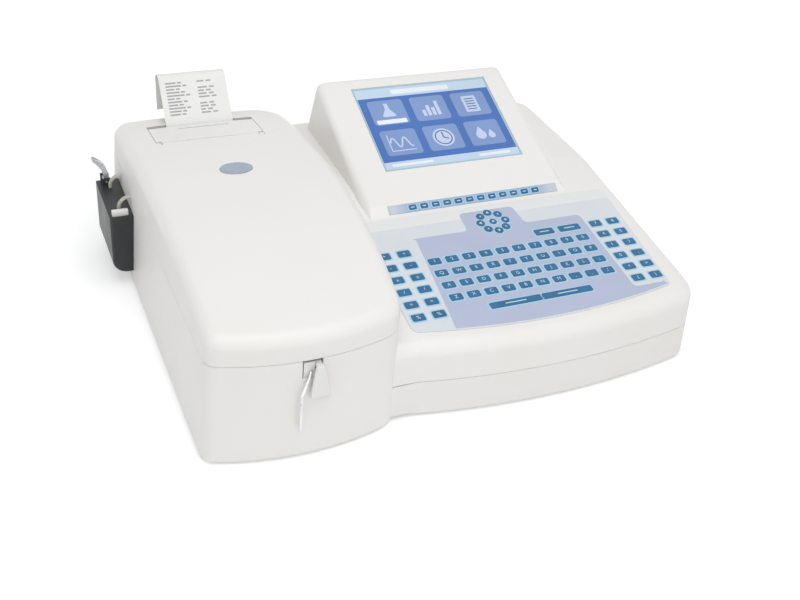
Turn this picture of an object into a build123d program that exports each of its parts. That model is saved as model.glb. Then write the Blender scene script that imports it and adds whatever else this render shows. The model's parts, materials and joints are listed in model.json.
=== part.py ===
from build123d import *
import os
from math import acos, atan2, cos, radians, sin, sqrt, tan

# Benchtop chemistry analyser, modelled in millimetres.
# Frame: +X to the right of the person who uses it, +Y to its rear, +Z up. The origin is the
# middle of the whole object's footprint, on the surface it stands on.

# ================================================================ driving dimensions
module_width = 146.0        # left wall's foot to the optics module's front right corner
console_width = 267.0       # from that corner to the foot of the right wall
body_depth = 332.0          # crest of the optics module's front to the rear wall
pump_reach = 18.0           # how far the pump's lever stands out past the left wall
needle_reach = 4.0          # how far the aspiration needle stands out past the front
slip_overhang = 9.0         # how far the printed slip curls out past the rear wall
foot_height = 3.0
foot_radius = 7.0
draft = 0.055               # lean of the moulded walls, in mm for each mm of height
wall = 2.8                  # moulded shell thickness
shell_gap = 0.8             # between the optics module and the console beside it
seam_gap = 0.3              # between two mouldings that meet at a seam
fit_gap = 0.3               # clearance of a part that drops into a pocket
seat_gap = 0.1              # clearance of a part that is screwed against another
pin_clearance = 0.05        # radial, for every pin and shaft in its hole
tongue_height = 2.5         # rib on a rim that locates the moulding above it
tongue_thickness = 1.5

# optics module: the tall housing at the left, closed by the hinged lid
module_bulge = 12.0         # its right side swells this much behind the front corner
module_bow = 13.0           # its front bows out this much between its corners
module_corner_left = 12.0
module_corner_right = 24.0
module_corner_rear_left = 16.0
module_corner_rear_right = 30.0
lid_seam_z = 83.0
lid_crest_z = 119.5         # highest point of the lid
lid_crest_setback = 176.0   # behind the front crest
lid_rear_z = 105.56         # height of its crown at the rear wall, were its edge not rounded
lid_crown_radius = 1500.0   # side to side
lid_edge_round = 11.0
lid_wall = 2.6

# hinge of the lid
hinge_barrel = 2.6          # radius of the knuckles
hinge_standoff = 0.4        # knuckles clear the rear wall by this much
hinge_leaf = 1.4
hinge_leaf_height = 15.0
hinge_length = 30.0
hinge_knuckle = 10.0
hinge_pin_radius = 1.5
hinge_offsets = (33.0, 107.0)   # hinge centres, right of the left wall

# console: the low case at the right, with the keypad deck and the display head
console_setback = 4.0       # its front crest lies this much behind the module's
console_inreach = 5.0       # it runs this far in behind the module's front corner
console_bow = 15.0
console_corner_front = 22.0
console_corner_rear = 24.0
console_seam_z = 32.0
console_edge_round = 12.0
deck_slope = 7.4            # degrees
ledge_setback = 161.0       # foot of the ledge, behind the module's front crest
ledge_foot_z = 82.2
ledge_depth = 8.5
ledge_rise = 6.0
head_slope = 21.0           # degrees
head_top_setback = 28.5     # the head's top edge, in front of the rear wall
head_back_run = 15.5        # top edge to the foot of the head's back
head_left_inset = 29.0      # head's left wall, right of the module's front corner
head_width = 184.0
head_side_lean = 4.0        # its left wall leans in this much at the top
head_flank_run = 30.0       # its right flank runs out this far at the rear
head_round = 7.0
lid_swing_room = 1.5        # the deck beside the module's rear is cut down this far from it,
lid_swing_setback = 92.0    # from this far behind the lid's crest, for the lid to swing by

# keypad, function strip and display
key_pitch_x = 15.0
key_pitch_y = 13.9
key_size_x = 10.4
key_size_y = 6.8
key_height = 0.5
key_corner = 1.2
overlay_thickness = 0.8
overlay_recess = 0.5
overlay_corner = 6.0
overlay_margin_left = 15.8      # overlay's left edge, right of the module's front corner
overlay_margin_right = 18.0     # its right edge, left of the foot of the right wall
overlay_margin_front = 17.9     # its front arc, behind the console's front crest
overlay_margin_rear = 3.0       # its rear edge, in front of the ledge
overlay_bow = 11.0
overlay_taper = 7.0             # its right edge leans in this much towards the front
screen_width = 126.5
screen_height = 90.5
screen_offset = 96.5            # left of its middle: distance from the head's left wall
screen_bottom = 35.7            # up the slope from the top of the ledge
window_border = 2.0
window_thickness = 1.4
window_recess = 0.5
strip_width = 158.0
strip_height = 8.0
strip_offset = 99.2             # middle of the strip, right of the head's left wall
strip_key_pitch = 10.46
strip_key_count = 12

# pump on the left wall
pump_setback = 269.5        # middle of the pump, behind the front crest
pump_length = 63.0
pump_bottom_z = 13.0
pump_top_z = 67.0
pump_depth = 15.5
pump_bottom_round = 12.0
pump_edge_round = 2.0
rotor_height = 26.0         # of its axis, over the pump's bottom
roller_radius = 4.0
roller_circle = 12.5        # radius of the circle that the roller pins stand on
roller_pin_radius = 1.2
roller_length = 7.4
rotor_disc = 1.6
rotor_gap = 0.3
tube_radius = 1.5
tube_clearance = 0.2
tube_port_z = 77.5          # height of the two holes that the pump's tube goes in by
tube_bend = 9.0

# slip printer in the lid
printer_width = 90.0
printer_offset = 75.6       # its middle, right of the foot of the left wall
door_front_setback = 68.0   # front edge of its door, in front of the rear wall
door_rear_setback = 32.0
door_gap = 0.4
door_barrel = 2.6
door_pin_radius = 1.2
slip_width = 57.5
slip_thickness = 0.3
slip_setback = 28.5         # where the slip leaves the lid, in front of the rear wall
slip_top_z = 142.5
slip_curl = 7.0             # radius that the slip curls over with
slip_tail_z = 108.0
roll_radius = 14.5
roll_core_radius = 6.0
spindle_radius = 4.9
platen_radius = 5.0
platen_shaft_radius = 2.0
frame_side = 2.0            # thickness of the printer frame's plates
ear_radius = 2.4            # of the two ears that carry the door's hinge pins

# sampling point at the front
needle_radius = 1.1
needle_offset = 73.3        # where it leaves the module, right of the left wall's foot
needle_z = 73.0             # height of its bore in the holder
needle_knee_z = 59.0        # where it turns to hang down
needle_tip_z = 29.5
slot_floor_z = 68.0         # floor of the slot in the module's front
paddle_thickness = 2.0
paddle_pivot_z = 78.0

# ================================================================ places worked out
body_width = module_width + console_width
left_x = -(body_width + pump_reach) / 2 + pump_reach
right_x = left_x + body_width
front_y = -(needle_reach + body_depth + slip_overhang) / 2 + needle_reach
rear_y = front_y + body_depth
floor_z = foot_height
floor_top = floor_z + wall
module_right_x = left_x + module_width
module_centre_x = left_x + module_width / 2
crest_y = front_y + lid_crest_setback
lid_fall = lid_crest_z - lid_rear_z
lid_arch_radius = (lid_fall**2 + (rear_y - crest_y) ** 2) / (2 * lid_fall)
ledge_y = front_y + ledge_setback
ledge_top_y = ledge_y + ledge_depth
ledge_top_z = ledge_foot_z + ledge_rise
head_top_y = rear_y - head_top_setback
head_top_z = ledge_top_z + (head_top_y - ledge_top_y) * tan(radians(head_slope))
head_left_x = module_right_x + head_left_inset
head_right_x = head_left_x + head_width
flat_y = ledge_y + ledge_rise / tan(radians(deck_slope))

deck_plane = Plane(
    origin=(0, ledge_y, ledge_foot_z),
    x_dir=(1, 0, 0),
    z_dir=(0, -sin(radians(deck_slope)), cos(radians(deck_slope))),
)
head_plane = Plane(
    origin=(0, ledge_top_y, ledge_top_z),
    x_dir=(1, 0, 0),
    z_dir=(0, -sin(radians(head_slope)), cos(radians(head_slope))),
)
ledge_slant = sqrt(ledge_depth**2 + ledge_rise**2)
ledge_plane = Plane(
    origin=(0, ledge_y, ledge_foot_z),
    x_dir=(1, 0, 0),
    z_dir=(0, -ledge_rise / ledge_slant, ledge_depth / ledge_slant),
)


# ================================================================ small helpers
def block(x, y, z, mode=Mode.ADD):
    """A box between two limits on each axis, in the part being built."""
    with Locations(((x[0] + x[1]) / 2, (y[0] + y[1]) / 2, (z[0] + z[1]) / 2)):
        Box(x[1] - x[0], y[1] - y[0], z[1] - z[0], mode=mode)


def rod(start, direction, length, radius, mode=Mode.ADD):
    """A round bar from a point along a direction, in the part being built."""
    with BuildSketch(Plane(origin=start, z_dir=direction)) as section:
        Circle(radius)
    extrude(section.sketch, amount=length, mode=mode)


def ring(start, direction, length, radius, bore):
    """A round bar with a bore right through it, in the part being built."""
    with BuildSketch(Plane(origin=start, z_dir=direction)) as section:
        Circle(radius)
        Circle(bore, mode=Mode.SUBTRACT)
    extrude(section.sketch, amount=length)


def tube(points, radii, radius):
    """A tube along straight runs joined by tangent arcs, in the part being built."""
    with BuildLine() as route:
        FilletPolyline(*points, radius=radii)
    with BuildSketch(Plane(origin=route.line @ 0, z_dir=route.line % 0)) as section:
        Circle(radius)
    sweep(section.sketch, path=route.line)


def finish(part, name):
    """Label a finished piece and write it out."""
    part.label = name
    export_step(part, f"parts/{name}.step")


def deck_z(y):
    """Height of the keypad deck's plane at a Y coordinate."""
    return ledge_foot_z + (y - ledge_y) * tan(radians(deck_slope))


def wall_x(z):
    """X of the left wall's outer face at a height."""
    return left_x + draft * (z - floor_z)


def crown_z(x, y):
    """Height of the lid's crown over a point."""
    sag = (x - module_centre_x) ** 2 / (2 * lid_crown_radius)
    rise = sqrt((lid_arch_radius - sag) ** 2 - (y - crest_y) ** 2)
    return lid_crest_z - lid_arch_radius + rise


os.makedirs("parts", exist_ok=True)
X, Y, Z = (1, 0, 0), (0, 1, 0), (0, 0, 1)


# ================================================================ outer forms
def round_corners(sketch, corners):
    """Round the corner nearest to each point, in the sketch being built."""
    for point, radius in corners:
        fillet(sketch.vertices().sort_by_distance((*point, 0))[0], radius)


def module_plan(height, inset):
    """Outline of the optics module at a height over its floor, drawn in by inset."""
    lean = draft * height + inset
    west = left_x + lean
    east = module_right_x - inset
    bulged = east + module_bulge
    north_east = east + module_bulge / 2
    crest = front_y + lean
    corner = crest + module_bow
    north = rear_y - inset
    with BuildSketch(Plane.XY.offset(floor_z + height)) as plan:
        with BuildLine():
            Line((west, north), (west, corner))
            ThreePointArc((west, corner), ((west + east) / 2, crest), (east, corner))
            ThreePointArc((east, corner), (bulged, (corner + north) / 2), (north_east, north))
            Line((north_east, north), (west, north))
        make_face()
        round_corners(plan, [
            ((west, corner), module_corner_left - inset),
            ((east, corner), module_corner_right - inset),
            ((west, north), module_corner_rear_left - inset),
            ((north_east, north), module_corner_rear_right - inset),
        ])
    return plan.sketch


def module_block(low_z, high_z, inset):
    """The module's outer form between two heights, drawn in by inset."""
    low = module_plan(low_z - floor_z, inset)
    high = module_plan(high_z - floor_z, inset)
    with BuildPart() as form:
        loft([low, high], ruled=True)
    return form.part


def crown_block(drop):
    """A solid under the lid's double-curved crown, lowered by drop."""
    half = module_width
    deep = 200
    swing = 18
    radius = lid_arch_radius - drop
    sag = half**2 / (2 * lid_crown_radius)
    centre = (module_centre_x, crest_y, lid_crest_z - lid_arch_radius)
    start = Plane(origin=centre, x_dir=X, z_dir=(0, -1, 0)).rotated((-swing, 0, 0))
    with BuildPart() as form:
        with BuildSketch(start):
            with BuildLine():
                Line((-half, radius - sag), (-half, radius - deep))
                Line((-half, radius - deep), (half, radius - deep))
                Line((half, radius - deep), (half, radius - sag))
                ThreePointArc((half, radius - sag), (0, radius), (-half, radius - sag))
            make_face()
        revolve(axis=Axis(centre, X), revolution_arc=2 * swing)
    return form.part


def lid_block(low_z, inset, drop, edge_round):
    """The lid's outer form above a height, drawn in by inset and lowered by drop."""
    with BuildPart() as form:
        add(module_block(low_z, lid_crest_z + 5, inset))
        add(crown_block(drop), mode=Mode.INTERSECT)
        fillet(form.faces().sort_by(Axis.Z)[-1].edges(), edge_round)
    return form.part


def console_plan(height, inset):
    """Outline of the console at a height over its floor, drawn in by inset."""
    lean = draft * height + inset
    west = module_right_x - console_inreach + inset
    east = right_x - lean
    crest = front_y + console_setback + lean
    corner = crest + console_bow
    north = rear_y - inset
    with BuildSketch(Plane.XY.offset(floor_z + height)) as plan:
        with BuildLine():
            Line((west, north), (west, corner))
            ThreePointArc((west, corner), ((west + east) / 2, crest), (east, corner))
            Line((east, corner), (east, north))
            Line((east, north), (west, north))
        make_face()
        round_corners(plan, [
            ((east, corner), console_corner_front - inset),
            ((east, north), console_corner_rear - inset),
        ])
    return plan.sketch


def console_block(low_z, high_z, inset):
    """The console's outer form between two heights, cut to follow the module's side."""
    low = console_plan(low_z - floor_z, inset)
    high = console_plan(high_z - floor_z, inset)
    with BuildPart() as form:
        loft([low, high], ruled=True)
        add(module_block(low_z - 1, high_z + 1, -shell_gap - inset), mode=Mode.SUBTRACT)
    return form.part


def open_shell(form, seam_z):
    """A housing open at the top, with the rib on its rim, for a form given by two heights."""
    rib_top = seam_z + tongue_height
    with BuildPart() as shell:
        add(form(floor_z, seam_z, 0))
        add(form(seam_z - 1, rib_top, wall - tongue_thickness))
        add(form(floor_top, rib_top + 1, wall), mode=Mode.SUBTRACT)
    return shell.part


def head_block(drop, edge_round):
    """The display head down to below the deck, drawn in by drop."""
    base_z = console_seam_z + 20
    back_y = head_top_y + head_back_run
    far_x = right_x + 20
    lean = Vector(0, 0, head_top_z - base_z) + Vector(head_side_lean, 0, 0)
    left_wall = Plane(
        origin=(head_left_x + drop, head_top_y, base_z), z_dir=lean.cross(Vector(Y))
    )
    edge_start = Vector(head_right_x, ledge_top_y, ledge_top_z)
    edge_end = Vector(head_right_x - head_side_lean, head_top_y, head_top_z)
    foot_end = Vector(head_right_x + head_flank_run, head_top_y, ledge_top_z)
    outward = (foot_end - edge_start).cross(edge_end - edge_start).normalized()
    flank = Plane(origin=edge_start - outward * drop, z_dir=outward)
    with BuildPart() as form:
        with BuildSketch(Plane.YZ.offset(head_left_x - 20)):
            with BuildLine():
                Polyline(
                    (ledge_y, base_z),
                    (ledge_y, ledge_foot_z),
                    (ledge_top_y, ledge_top_z),
                    (head_top_y, head_top_z),
                    (back_y, ledge_top_z - 2),
                    (back_y, base_z),
                    close=True,
                )
            make_face()
            if drop:
                offset(amount=-drop, kind=Kind.INTERSECTION, mode=Mode.REPLACE)
        extrude(amount=far_x - head_left_x)
        split(bisect_by=flank, keep=Keep.BOTTOM)
        split(bisect_by=left_wall, keep=Keep.BOTTOM)
        upper = form.edges().filter_by(lambda edge: edge.center().Z > ledge_top_z + 7)
        fillet(upper, edge_round)
    return form.part


def roof_block(drop, edge_round):
    """A solid under the deck, the ledge and the display head, lowered by drop."""
    south, north = front_y - 20, rear_y + 20
    base_z = console_seam_z - 20
    with BuildPart() as form:
        with BuildSketch(Plane.YZ):
            with BuildLine():
                Polyline(
                    (south, base_z),
                    (south, deck_z(south)),
                    (flat_y, ledge_top_z),
                    (north, ledge_top_z),
                    (north, base_z),
                    close=True,
                )
            make_face()
            if drop:
                offset(amount=-drop, kind=Kind.INTERSECTION, mode=Mode.REPLACE)
        extrude(amount=body_width, both=True)
        add(head_block(drop, edge_round))
    return form.part


def cover_block(low_z, drop, edge_round, top_round):
    """The console's outer form above a height, drawn in by drop."""
    high_z = head_top_z + 5
    notch_x = module_right_x + module_bulge + lid_swing_room + drop
    notch_y = crest_y + lid_swing_setback - drop
    with BuildPart() as form:
        add(console_block(low_z, high_z, drop))
        add(roof_block(drop, top_round), mode=Mode.INTERSECT)
        rim = form.edges().filter_by(
            lambda edge: edge.center().Z > lid_seam_z - 25
            and edge.bounding_box().size.Z < 28
            and (
                (edge @ 0.5).X > right_x - drop - 13
                or (edge @ 0.5).Y > rear_y - drop - 0.5
                or (edge @ 0.5).Y < front_y + console_setback + drop + 9
            )
        )
        fillet(rim, edge_round)
        block(
            (module_right_x - 30, notch_x),
            (notch_y, rear_y + 20),
            (lid_seam_z - seam_gap - drop, high_z),
            Mode.SUBTRACT,
        )
    return form.part


# ================================================================ where things stand
pump_y = front_y + pump_setback
rotor_z = pump_bottom_z + rotor_height
pump_outer_x = left_x - pump_depth
printer_x = left_x + printer_offset
slip_y = rear_y - slip_setback
door_front_y = rear_y - door_front_setback
door_rear_y = rear_y - door_rear_setback
door_axis_y = door_front_y + door_barrel
door_axis_z = crown_z(printer_x - printer_width / 2, door_axis_y) - door_barrel - 0.2
platen_y = slip_y - platen_radius - 2.2
platen_z = crown_z(printer_x, platen_y) - lid_wall - platen_radius - 1.2
roll_y = slip_y - 23.0
roll_z = platen_z - 14.4
printer_floor_z = roll_z - roll_radius - 2.6
aperture_rear_y = slip_y + 2.6
needle_x = left_x + needle_offset
hinge_y = rear_y + hinge_standoff + hinge_barrel
hinge_xs = [left_x + distance for distance in hinge_offsets]
optics_y = rear_y - 103
optics_z = 50.0
plate_z = 14.0
plate_top = plate_z + 5
lamp_x = left_x + 41
wheel_x = lamp_x + 49
wheel_y = optics_y - 21
cell_x = lamp_x + 76
cell_top = 66.0
tube_inner_x = left_x + 12
slot_back_y = front_y + 21
paddle_y = front_y + 7.5
pivot_radius = 1.0
port_x = left_x + 26
drain_z = 40.0
fan_x, fan_z = left_x + 96, 40.0
board_z = 12.0
board_thickness = 1.6
panel_y = rear_y - wall - seat_gap
panel_left = module_right_x + 75
panel_right = right_x - 40
port_z = 36.0
screen_x = head_left_x + screen_offset
screen_v = screen_bottom + screen_height / 2
strip_x = head_left_x + strip_offset
deck_top = deck_plane.offset(overlay_thickness - overlay_recess)
pillars = [
    (right_x - 27, front_y + 50),
    (right_x - 27, rear_y - 25),
    (module_right_x + 45, rear_y - 25),
    (module_right_x + 38, front_y + 45),
]
pillar_radius = 5.0
pillar_split_z = console_seam_z - 2
screw_radius = 1.5
screw_head_radius = 3.2
board_corners = [
    (module_right_x + x, front_y + y) for x in (81, 214) for y in (75, 202)
]
plate_corners = [
    (lamp_x + x, optics_y + y) for x in (6, 90) for y in (-66, 28)
]
feet = [
    (left_x + 19, front_y + 32),
    (left_x + 19, rear_y - 24),
    (module_right_x + 60, front_y + 42),
    (module_right_x + 60, rear_y - 42),
    (right_x - 45, front_y + 42),
    (right_x - 45, rear_y - 42),
]


# ================================================================ optics module housing
with BuildPart() as module_housing:
    add(open_shell(module_block, lid_seam_z))
    for corner in plate_corners:
        rod((*corner, floor_z), Z, plate_z - floor_z, 5)
    block(
        (needle_x - 9, needle_x + 9),
        (front_y + 5.5, slot_back_y + 1.5),
        (slot_floor_z - 6, slot_floor_z),
    )
    for corner in plate_corners:
        rod((*corner, floor_top), Z, plate_z - floor_top, screw_radius + pin_clearance, Mode.SUBTRACT)
    block(
        (needle_x - 6, needle_x + 8.5),
        (front_y - 1, front_y + 9),
        (slot_floor_z, lid_seam_z + 5),
        Mode.SUBTRACT,
    )
    rod((left_x - 1, pump_y, rotor_z), X, 10, 4.5, Mode.SUBTRACT)
    for side in (-1, 1):
        leg_y = pump_y + side * (roller_circle + roller_radius + tube_radius + tube_clearance)
        rod((left_x - 1, leg_y, tube_port_z), X, 12, tube_radius + seat_gap, Mode.SUBTRACT)
    rod((port_x, rear_y - wall - 1, drain_z), Y, wall + 2, 3.2, Mode.SUBTRACT)
    with Locations((fan_x, rear_y - wall / 2, fan_z)):
        with GridLocations(6, 1, 6, 1):
            Box(3, wall + 1, 32, mode=Mode.SUBTRACT)
finish(module_housing.part, "module_housing")


# ================================================================ lid of the optics module
aperture_x = (
    printer_x - printer_width / 2 - door_gap,
    printer_x + printer_width / 2 + door_gap,
)
ear_z = 96.0
ear_thickness = 2.4
frame_half = printer_width / 2 - 2
lid_bosses = [
    (printer_x + side * (frame_half + 5), y)
    for side in (-1, 1)
    for y in (door_front_y + 12, slip_y + 3)
]
badge_centre = (left_x + 78.8, front_y + 203.8)

with BuildPart() as boss_set:
    for centre in lid_bosses:
        rod((*centre, ear_z + ear_thickness), Z, 40, 3.5)
    add(crown_block(1.0), mode=Mode.INTERSECT)

with BuildPart() as badge_pocket:
    with BuildSketch(Plane.XY.offset(lid_seam_z + 10)):
        with Locations(badge_centre):
            Ellipse(13 + seat_gap, 9 + seat_gap)
    extrude(amount=60)
    add(crown_block(0.5), mode=Mode.SUBTRACT)

with BuildPart() as lid:
    add(lid_block(lid_seam_z + seam_gap, 0, 0, lid_edge_round))
    add(lid_block(lid_seam_z, lid_wall, lid_wall, lid_edge_round - lid_wall), mode=Mode.SUBTRACT)
    add(
        module_block(
            lid_seam_z, lid_seam_z + tongue_height + fit_gap, wall - tongue_thickness - fit_gap
        ),
        mode=Mode.SUBTRACT,
    )
    add(boss_set.part)
    for centre in lid_bosses:
        rod((*centre, ear_z), Z, 9, 1.3 + pin_clearance, Mode.SUBTRACT)
    aperture_y = (door_front_y - 3 * door_gap, aperture_rear_y)
    block(aperture_x, aperture_y, (ear_z + 6, lid_crest_z + 5), Mode.SUBTRACT)
    add(badge_pocket.part, mode=Mode.SUBTRACT)
finish(lid.part, "lid")

with BuildPart() as lid_badge:
    with BuildSketch(Plane.XY.offset(lid_seam_z + 10)):
        with Locations(badge_centre):
            Ellipse(13, 9)
    extrude(amount=60)
    add(crown_block(0.5), mode=Mode.SUBTRACT)
    add(crown_block(-0.8), mode=Mode.INTERSECT)
finish(lid_badge.part, "lid_badge")


# ================================================================ hinges of the lid
half_length = hinge_length / 2
leaf_y = (rear_y + seat_gap, rear_y + seat_gap + hinge_leaf)
leaf_foot = hinge_barrel + 0.4


def hinge_leaf_pair(knuckles, side):
    """Both hinges' leaves of one side: 1 above the hinge axis, -1 below it."""
    with BuildPart() as leaves:
        for centre_x in hinge_xs:
            block(
                (centre_x - half_length, centre_x + half_length),
                leaf_y,
                sorted((lid_seam_z + side * leaf_foot, lid_seam_z + side * hinge_leaf_height)),
            )
            for start, end in knuckles:
                block(
                    (centre_x + start, centre_x + end),
                    leaf_y,
                    sorted((lid_seam_z, lid_seam_z + side * (leaf_foot + 0.5))),
                )
                rod((centre_x + start, hinge_y, lid_seam_z), X, end - start, hinge_barrel)
            bore_start = (centre_x - hinge_length, hinge_y, lid_seam_z)
            bore = hinge_pin_radius + pin_clearance
            rod(bore_start, X, 2 * hinge_length, bore, Mode.SUBTRACT)
    return leaves.part


inner_half = half_length - hinge_knuckle
finish(
    hinge_leaf_pair([(-half_length, -inner_half - fit_gap), (inner_half + fit_gap, half_length)], -1),
    "hinge_leaves_fixed",
)
finish(hinge_leaf_pair([(-inner_half, inner_half)], 1), "hinge_leaves_moving")

with BuildPart() as hinge_pins:
    for centre_x in hinge_xs:
        pin_start = (centre_x - half_length - 0.5, hinge_y, lid_seam_z)
        rod(pin_start, X, hinge_length + 1, hinge_pin_radius)
finish(hinge_pins.part, "hinge_pins")


# ================================================================ slip printer
with BuildPart() as printer_frame:
    for side in (-1, 1):
        inner, outer = sorted((side * (frame_half - frame_side), side * frame_half))
        block(
            (printer_x + inner, printer_x + outer),
            (door_front_y + 3.4, slip_y + 9),
            (printer_floor_z, lid_crest_z),
        )
    block(
        (printer_x - frame_half, printer_x + frame_half),
        (door_front_y + 3.4, slip_y + 9),
        (printer_floor_z, printer_floor_z + frame_side),
    )
    block(
        (printer_x - frame_half, printer_x + frame_half),
        (slip_y + 7, slip_y + 9),
        (printer_floor_z, lid_crest_z),
    )
    add(crown_block(lid_wall + fit_gap), mode=Mode.INTERSECT)
    for centre in lid_bosses:
        side = 1 if centre[0] > printer_x else -1
        reach = sorted((printer_x + side * (frame_half - 0.5), centre[0] + side * 5))
        block(reach, (centre[1] - 5, centre[1] + 5), (ear_z, ear_z + ear_thickness))
        rod((*centre, ear_z - 1), Z, 5, 1.6, Mode.SUBTRACT)
    for side in (-1, 1):
        inner, outer = sorted((side * (frame_half - frame_side), side * frame_half))
        block(
            (printer_x + inner, printer_x + outer),
            (door_axis_y - ear_radius, door_axis_y + ear_radius),
            (roll_z, door_axis_z),
        )
        rod((printer_x + inner, door_axis_y, door_axis_z), X, frame_side, ear_radius)
    across = 2 * frame_half + 2
    side_x = printer_x - frame_half - 1
    door_bore = door_pin_radius + pin_clearance
    rod((side_x, door_axis_y, door_axis_z), X, across, door_bore, Mode.SUBTRACT)
    rod((side_x, roll_y, roll_z), X, across, spindle_radius + pin_clearance, Mode.SUBTRACT)
finish(printer_frame.part, "printer_frame")

with BuildPart() as printer_screws:
    for centre in lid_bosses:
        rod((*centre, ear_z - 1.6), Z, 1.6, 2.6)
        rod((*centre, ear_z - 0.1), Z, 8.5, 1.3)
finish(printer_screws.part, "printer_screws")

barrel_half = frame_half - frame_side - 0.4
with BuildPart() as door_arms:
    for side in (-1, 1):
        inner, outer = sorted((side * (barrel_half - 2), side * barrel_half))
        block(
            (printer_x + inner, printer_x + outer),
            (platen_y - 4, platen_y + 3.2),
            (platen_z - 3.2, lid_crest_z),
        )
    add(crown_block(1.0), mode=Mode.INTERSECT)

with BuildPart() as printer_door:
    block(
        (printer_x - printer_width / 2, printer_x + printer_width / 2),
        (door_axis_y + ear_radius + 0.8, door_rear_y),
        (ear_z, lid_crest_z + 5),
    )
    block(
        (printer_x - barrel_half, printer_x + barrel_half),
        (door_axis_y, door_axis_y + ear_radius + 1),
        (ear_z, lid_crest_z + 5),
    )
    add(crown_block(0), mode=Mode.INTERSECT)
    add(crown_block(lid_wall), mode=Mode.SUBTRACT)
    rod((printer_x - barrel_half, door_axis_y, door_axis_z), X, 2 * barrel_half, door_barrel)
    add(door_arms.part)
    for side in (-1, 1):
        bore_start = (printer_x + side * (barrel_half + 1), door_axis_y, door_axis_z)
        rod(bore_start, (-side, 0, 0), 9.5, door_bore, Mode.SUBTRACT)
    shaft_bore = platen_shaft_radius + pin_clearance
    rod((side_x, platen_y, platen_z), X, across, shaft_bore, Mode.SUBTRACT)
    block(
        (printer_x - 22, printer_x + 22),
        (door_rear_y - 7.5, door_rear_y - 6),
        (crown_z(printer_x, door_rear_y) - 1.2, lid_crest_z),
        Mode.SUBTRACT,
    )
finish(printer_door.part, "printer_door")

with BuildPart() as printer_door_pins:
    for side in (-1, 1):
        pin_start = (printer_x + side * (frame_half - 0.1), door_axis_y, door_axis_z)
        rod(pin_start, (-side, 0, 0), 10, door_pin_radius)
finish(printer_door_pins.part, "printer_door_pins")

paper_left = printer_x - slip_width / 2
with BuildPart() as platen_roller:
    shaft_start = (printer_x - barrel_half + 0.1, platen_y, platen_z)
    rod(shaft_start, X, 2 * barrel_half - 0.2, platen_shaft_radius)
    rod((paper_left - 1, platen_y, platen_z), X, slip_width + 2, platen_radius)
finish(platen_roller.part, "platen_roller")

with BuildPart() as print_head:
    block(
        (paper_left - 1, paper_left + slip_width + 1),
        (slip_y + 0.2, slip_y + 7 - seat_gap),
        (platen_z - 10, platen_z + 2),
    )
    fillet(print_head.edges().filter_by(Axis.X).sort_by(Axis.Y)[:2], 1.2)
finish(print_head.part, "print_head")

with BuildPart() as roll_spindle:
    rod((printer_x - frame_half, roll_y, roll_z), X, 2 * frame_half, spindle_radius)
finish(roll_spindle.part, "roll_spindle")

with BuildPart() as paper_roll:
    core_bore = spindle_radius + 2 * pin_clearance
    ring((paper_left, roll_y, roll_z), X, slip_width, roll_radius, core_bore)
    ring((paper_left - 0.5, roll_y, roll_z), X, slip_width + 1, roll_core_radius, core_bore)
finish(paper_roll.part, "paper_roll")


curl_y = rear_y + slip_overhang - slip_curl - slip_thickness
curl_z = slip_top_z - slip_curl - slip_thickness
slip_path = [
    (roll_y + roll_radius + 0.7, roll_z),
    (slip_y - 0.5, platen_z - 5),
    (slip_y - 0.5, platen_z + 5.5),
]


def touch_point(start, radius):
    """Where a line from a point in YZ touches the curl's circle on its near, upper side."""
    away_y, away_z = start[0] - curl_y, start[1] - curl_z
    distance = sqrt(away_y**2 + away_z**2)
    spread = acos(radius / distance)
    heading = atan2(away_z, away_y) - spread
    return curl_y + radius * cos(heading), curl_z + radius * sin(heading)


with BuildPart() as paper_slip:
    with BuildSketch(Plane.YZ.offset(paper_left)):
        with BuildLine():
            ends = []
            for drop in (0, slip_thickness):
                radius = slip_curl + drop
                path = [(y - drop, z) for y, z in slip_path]
                touch = touch_point(path[-1], radius)
                tail = (curl_y + radius - 1.5, slip_tail_z)
                Polyline(*path, touch)
                ThreePointArc(touch, (curl_y, curl_z + radius), (curl_y + radius, curl_z))
                Line((curl_y + radius, curl_z), tail)
                ends.append((path[0], tail))
            Line(ends[0][0], ends[1][0])
            Line(ends[0][1], ends[1][1])
        make_face()
    extrude(amount=slip_width)
finish(paper_slip.part, "paper_slip")


# ================================================================ sampling point
needle_entry = (needle_x, slot_back_y, needle_z)
needle_bend = (needle_x, front_y + 3.5, needle_z)
needle_knee = (needle_x - 8.0, front_y - needle_reach + needle_radius + 0.5, needle_knee_z)
needle_tip = (needle_x - 8.2, front_y - needle_reach + needle_radius, needle_tip_z)
with BuildPart() as sipper_needle:
    tube([needle_entry, needle_bend, needle_knee, needle_tip], 3.0, needle_radius)
finish(sipper_needle.part, "sipper_needle")

holder_right = needle_x + 3.0
holder_top_z = 81.0
pivot_bore = pivot_radius + pin_clearance
with BuildPart() as needle_holder:
    block(
        (needle_x - 5, holder_right),
        (front_y + 5, slot_back_y - 1),
        (slot_floor_z + seat_gap, holder_top_z),
    )
    rod((needle_x, front_y - 5, needle_z), Y, 40, needle_radius + pin_clearance, Mode.SUBTRACT)
    rod((holder_right - 2.5, paddle_y, paddle_pivot_z), X, 6, pivot_bore, Mode.SUBTRACT)
finish(needle_holder.part, "needle_holder")

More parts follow.
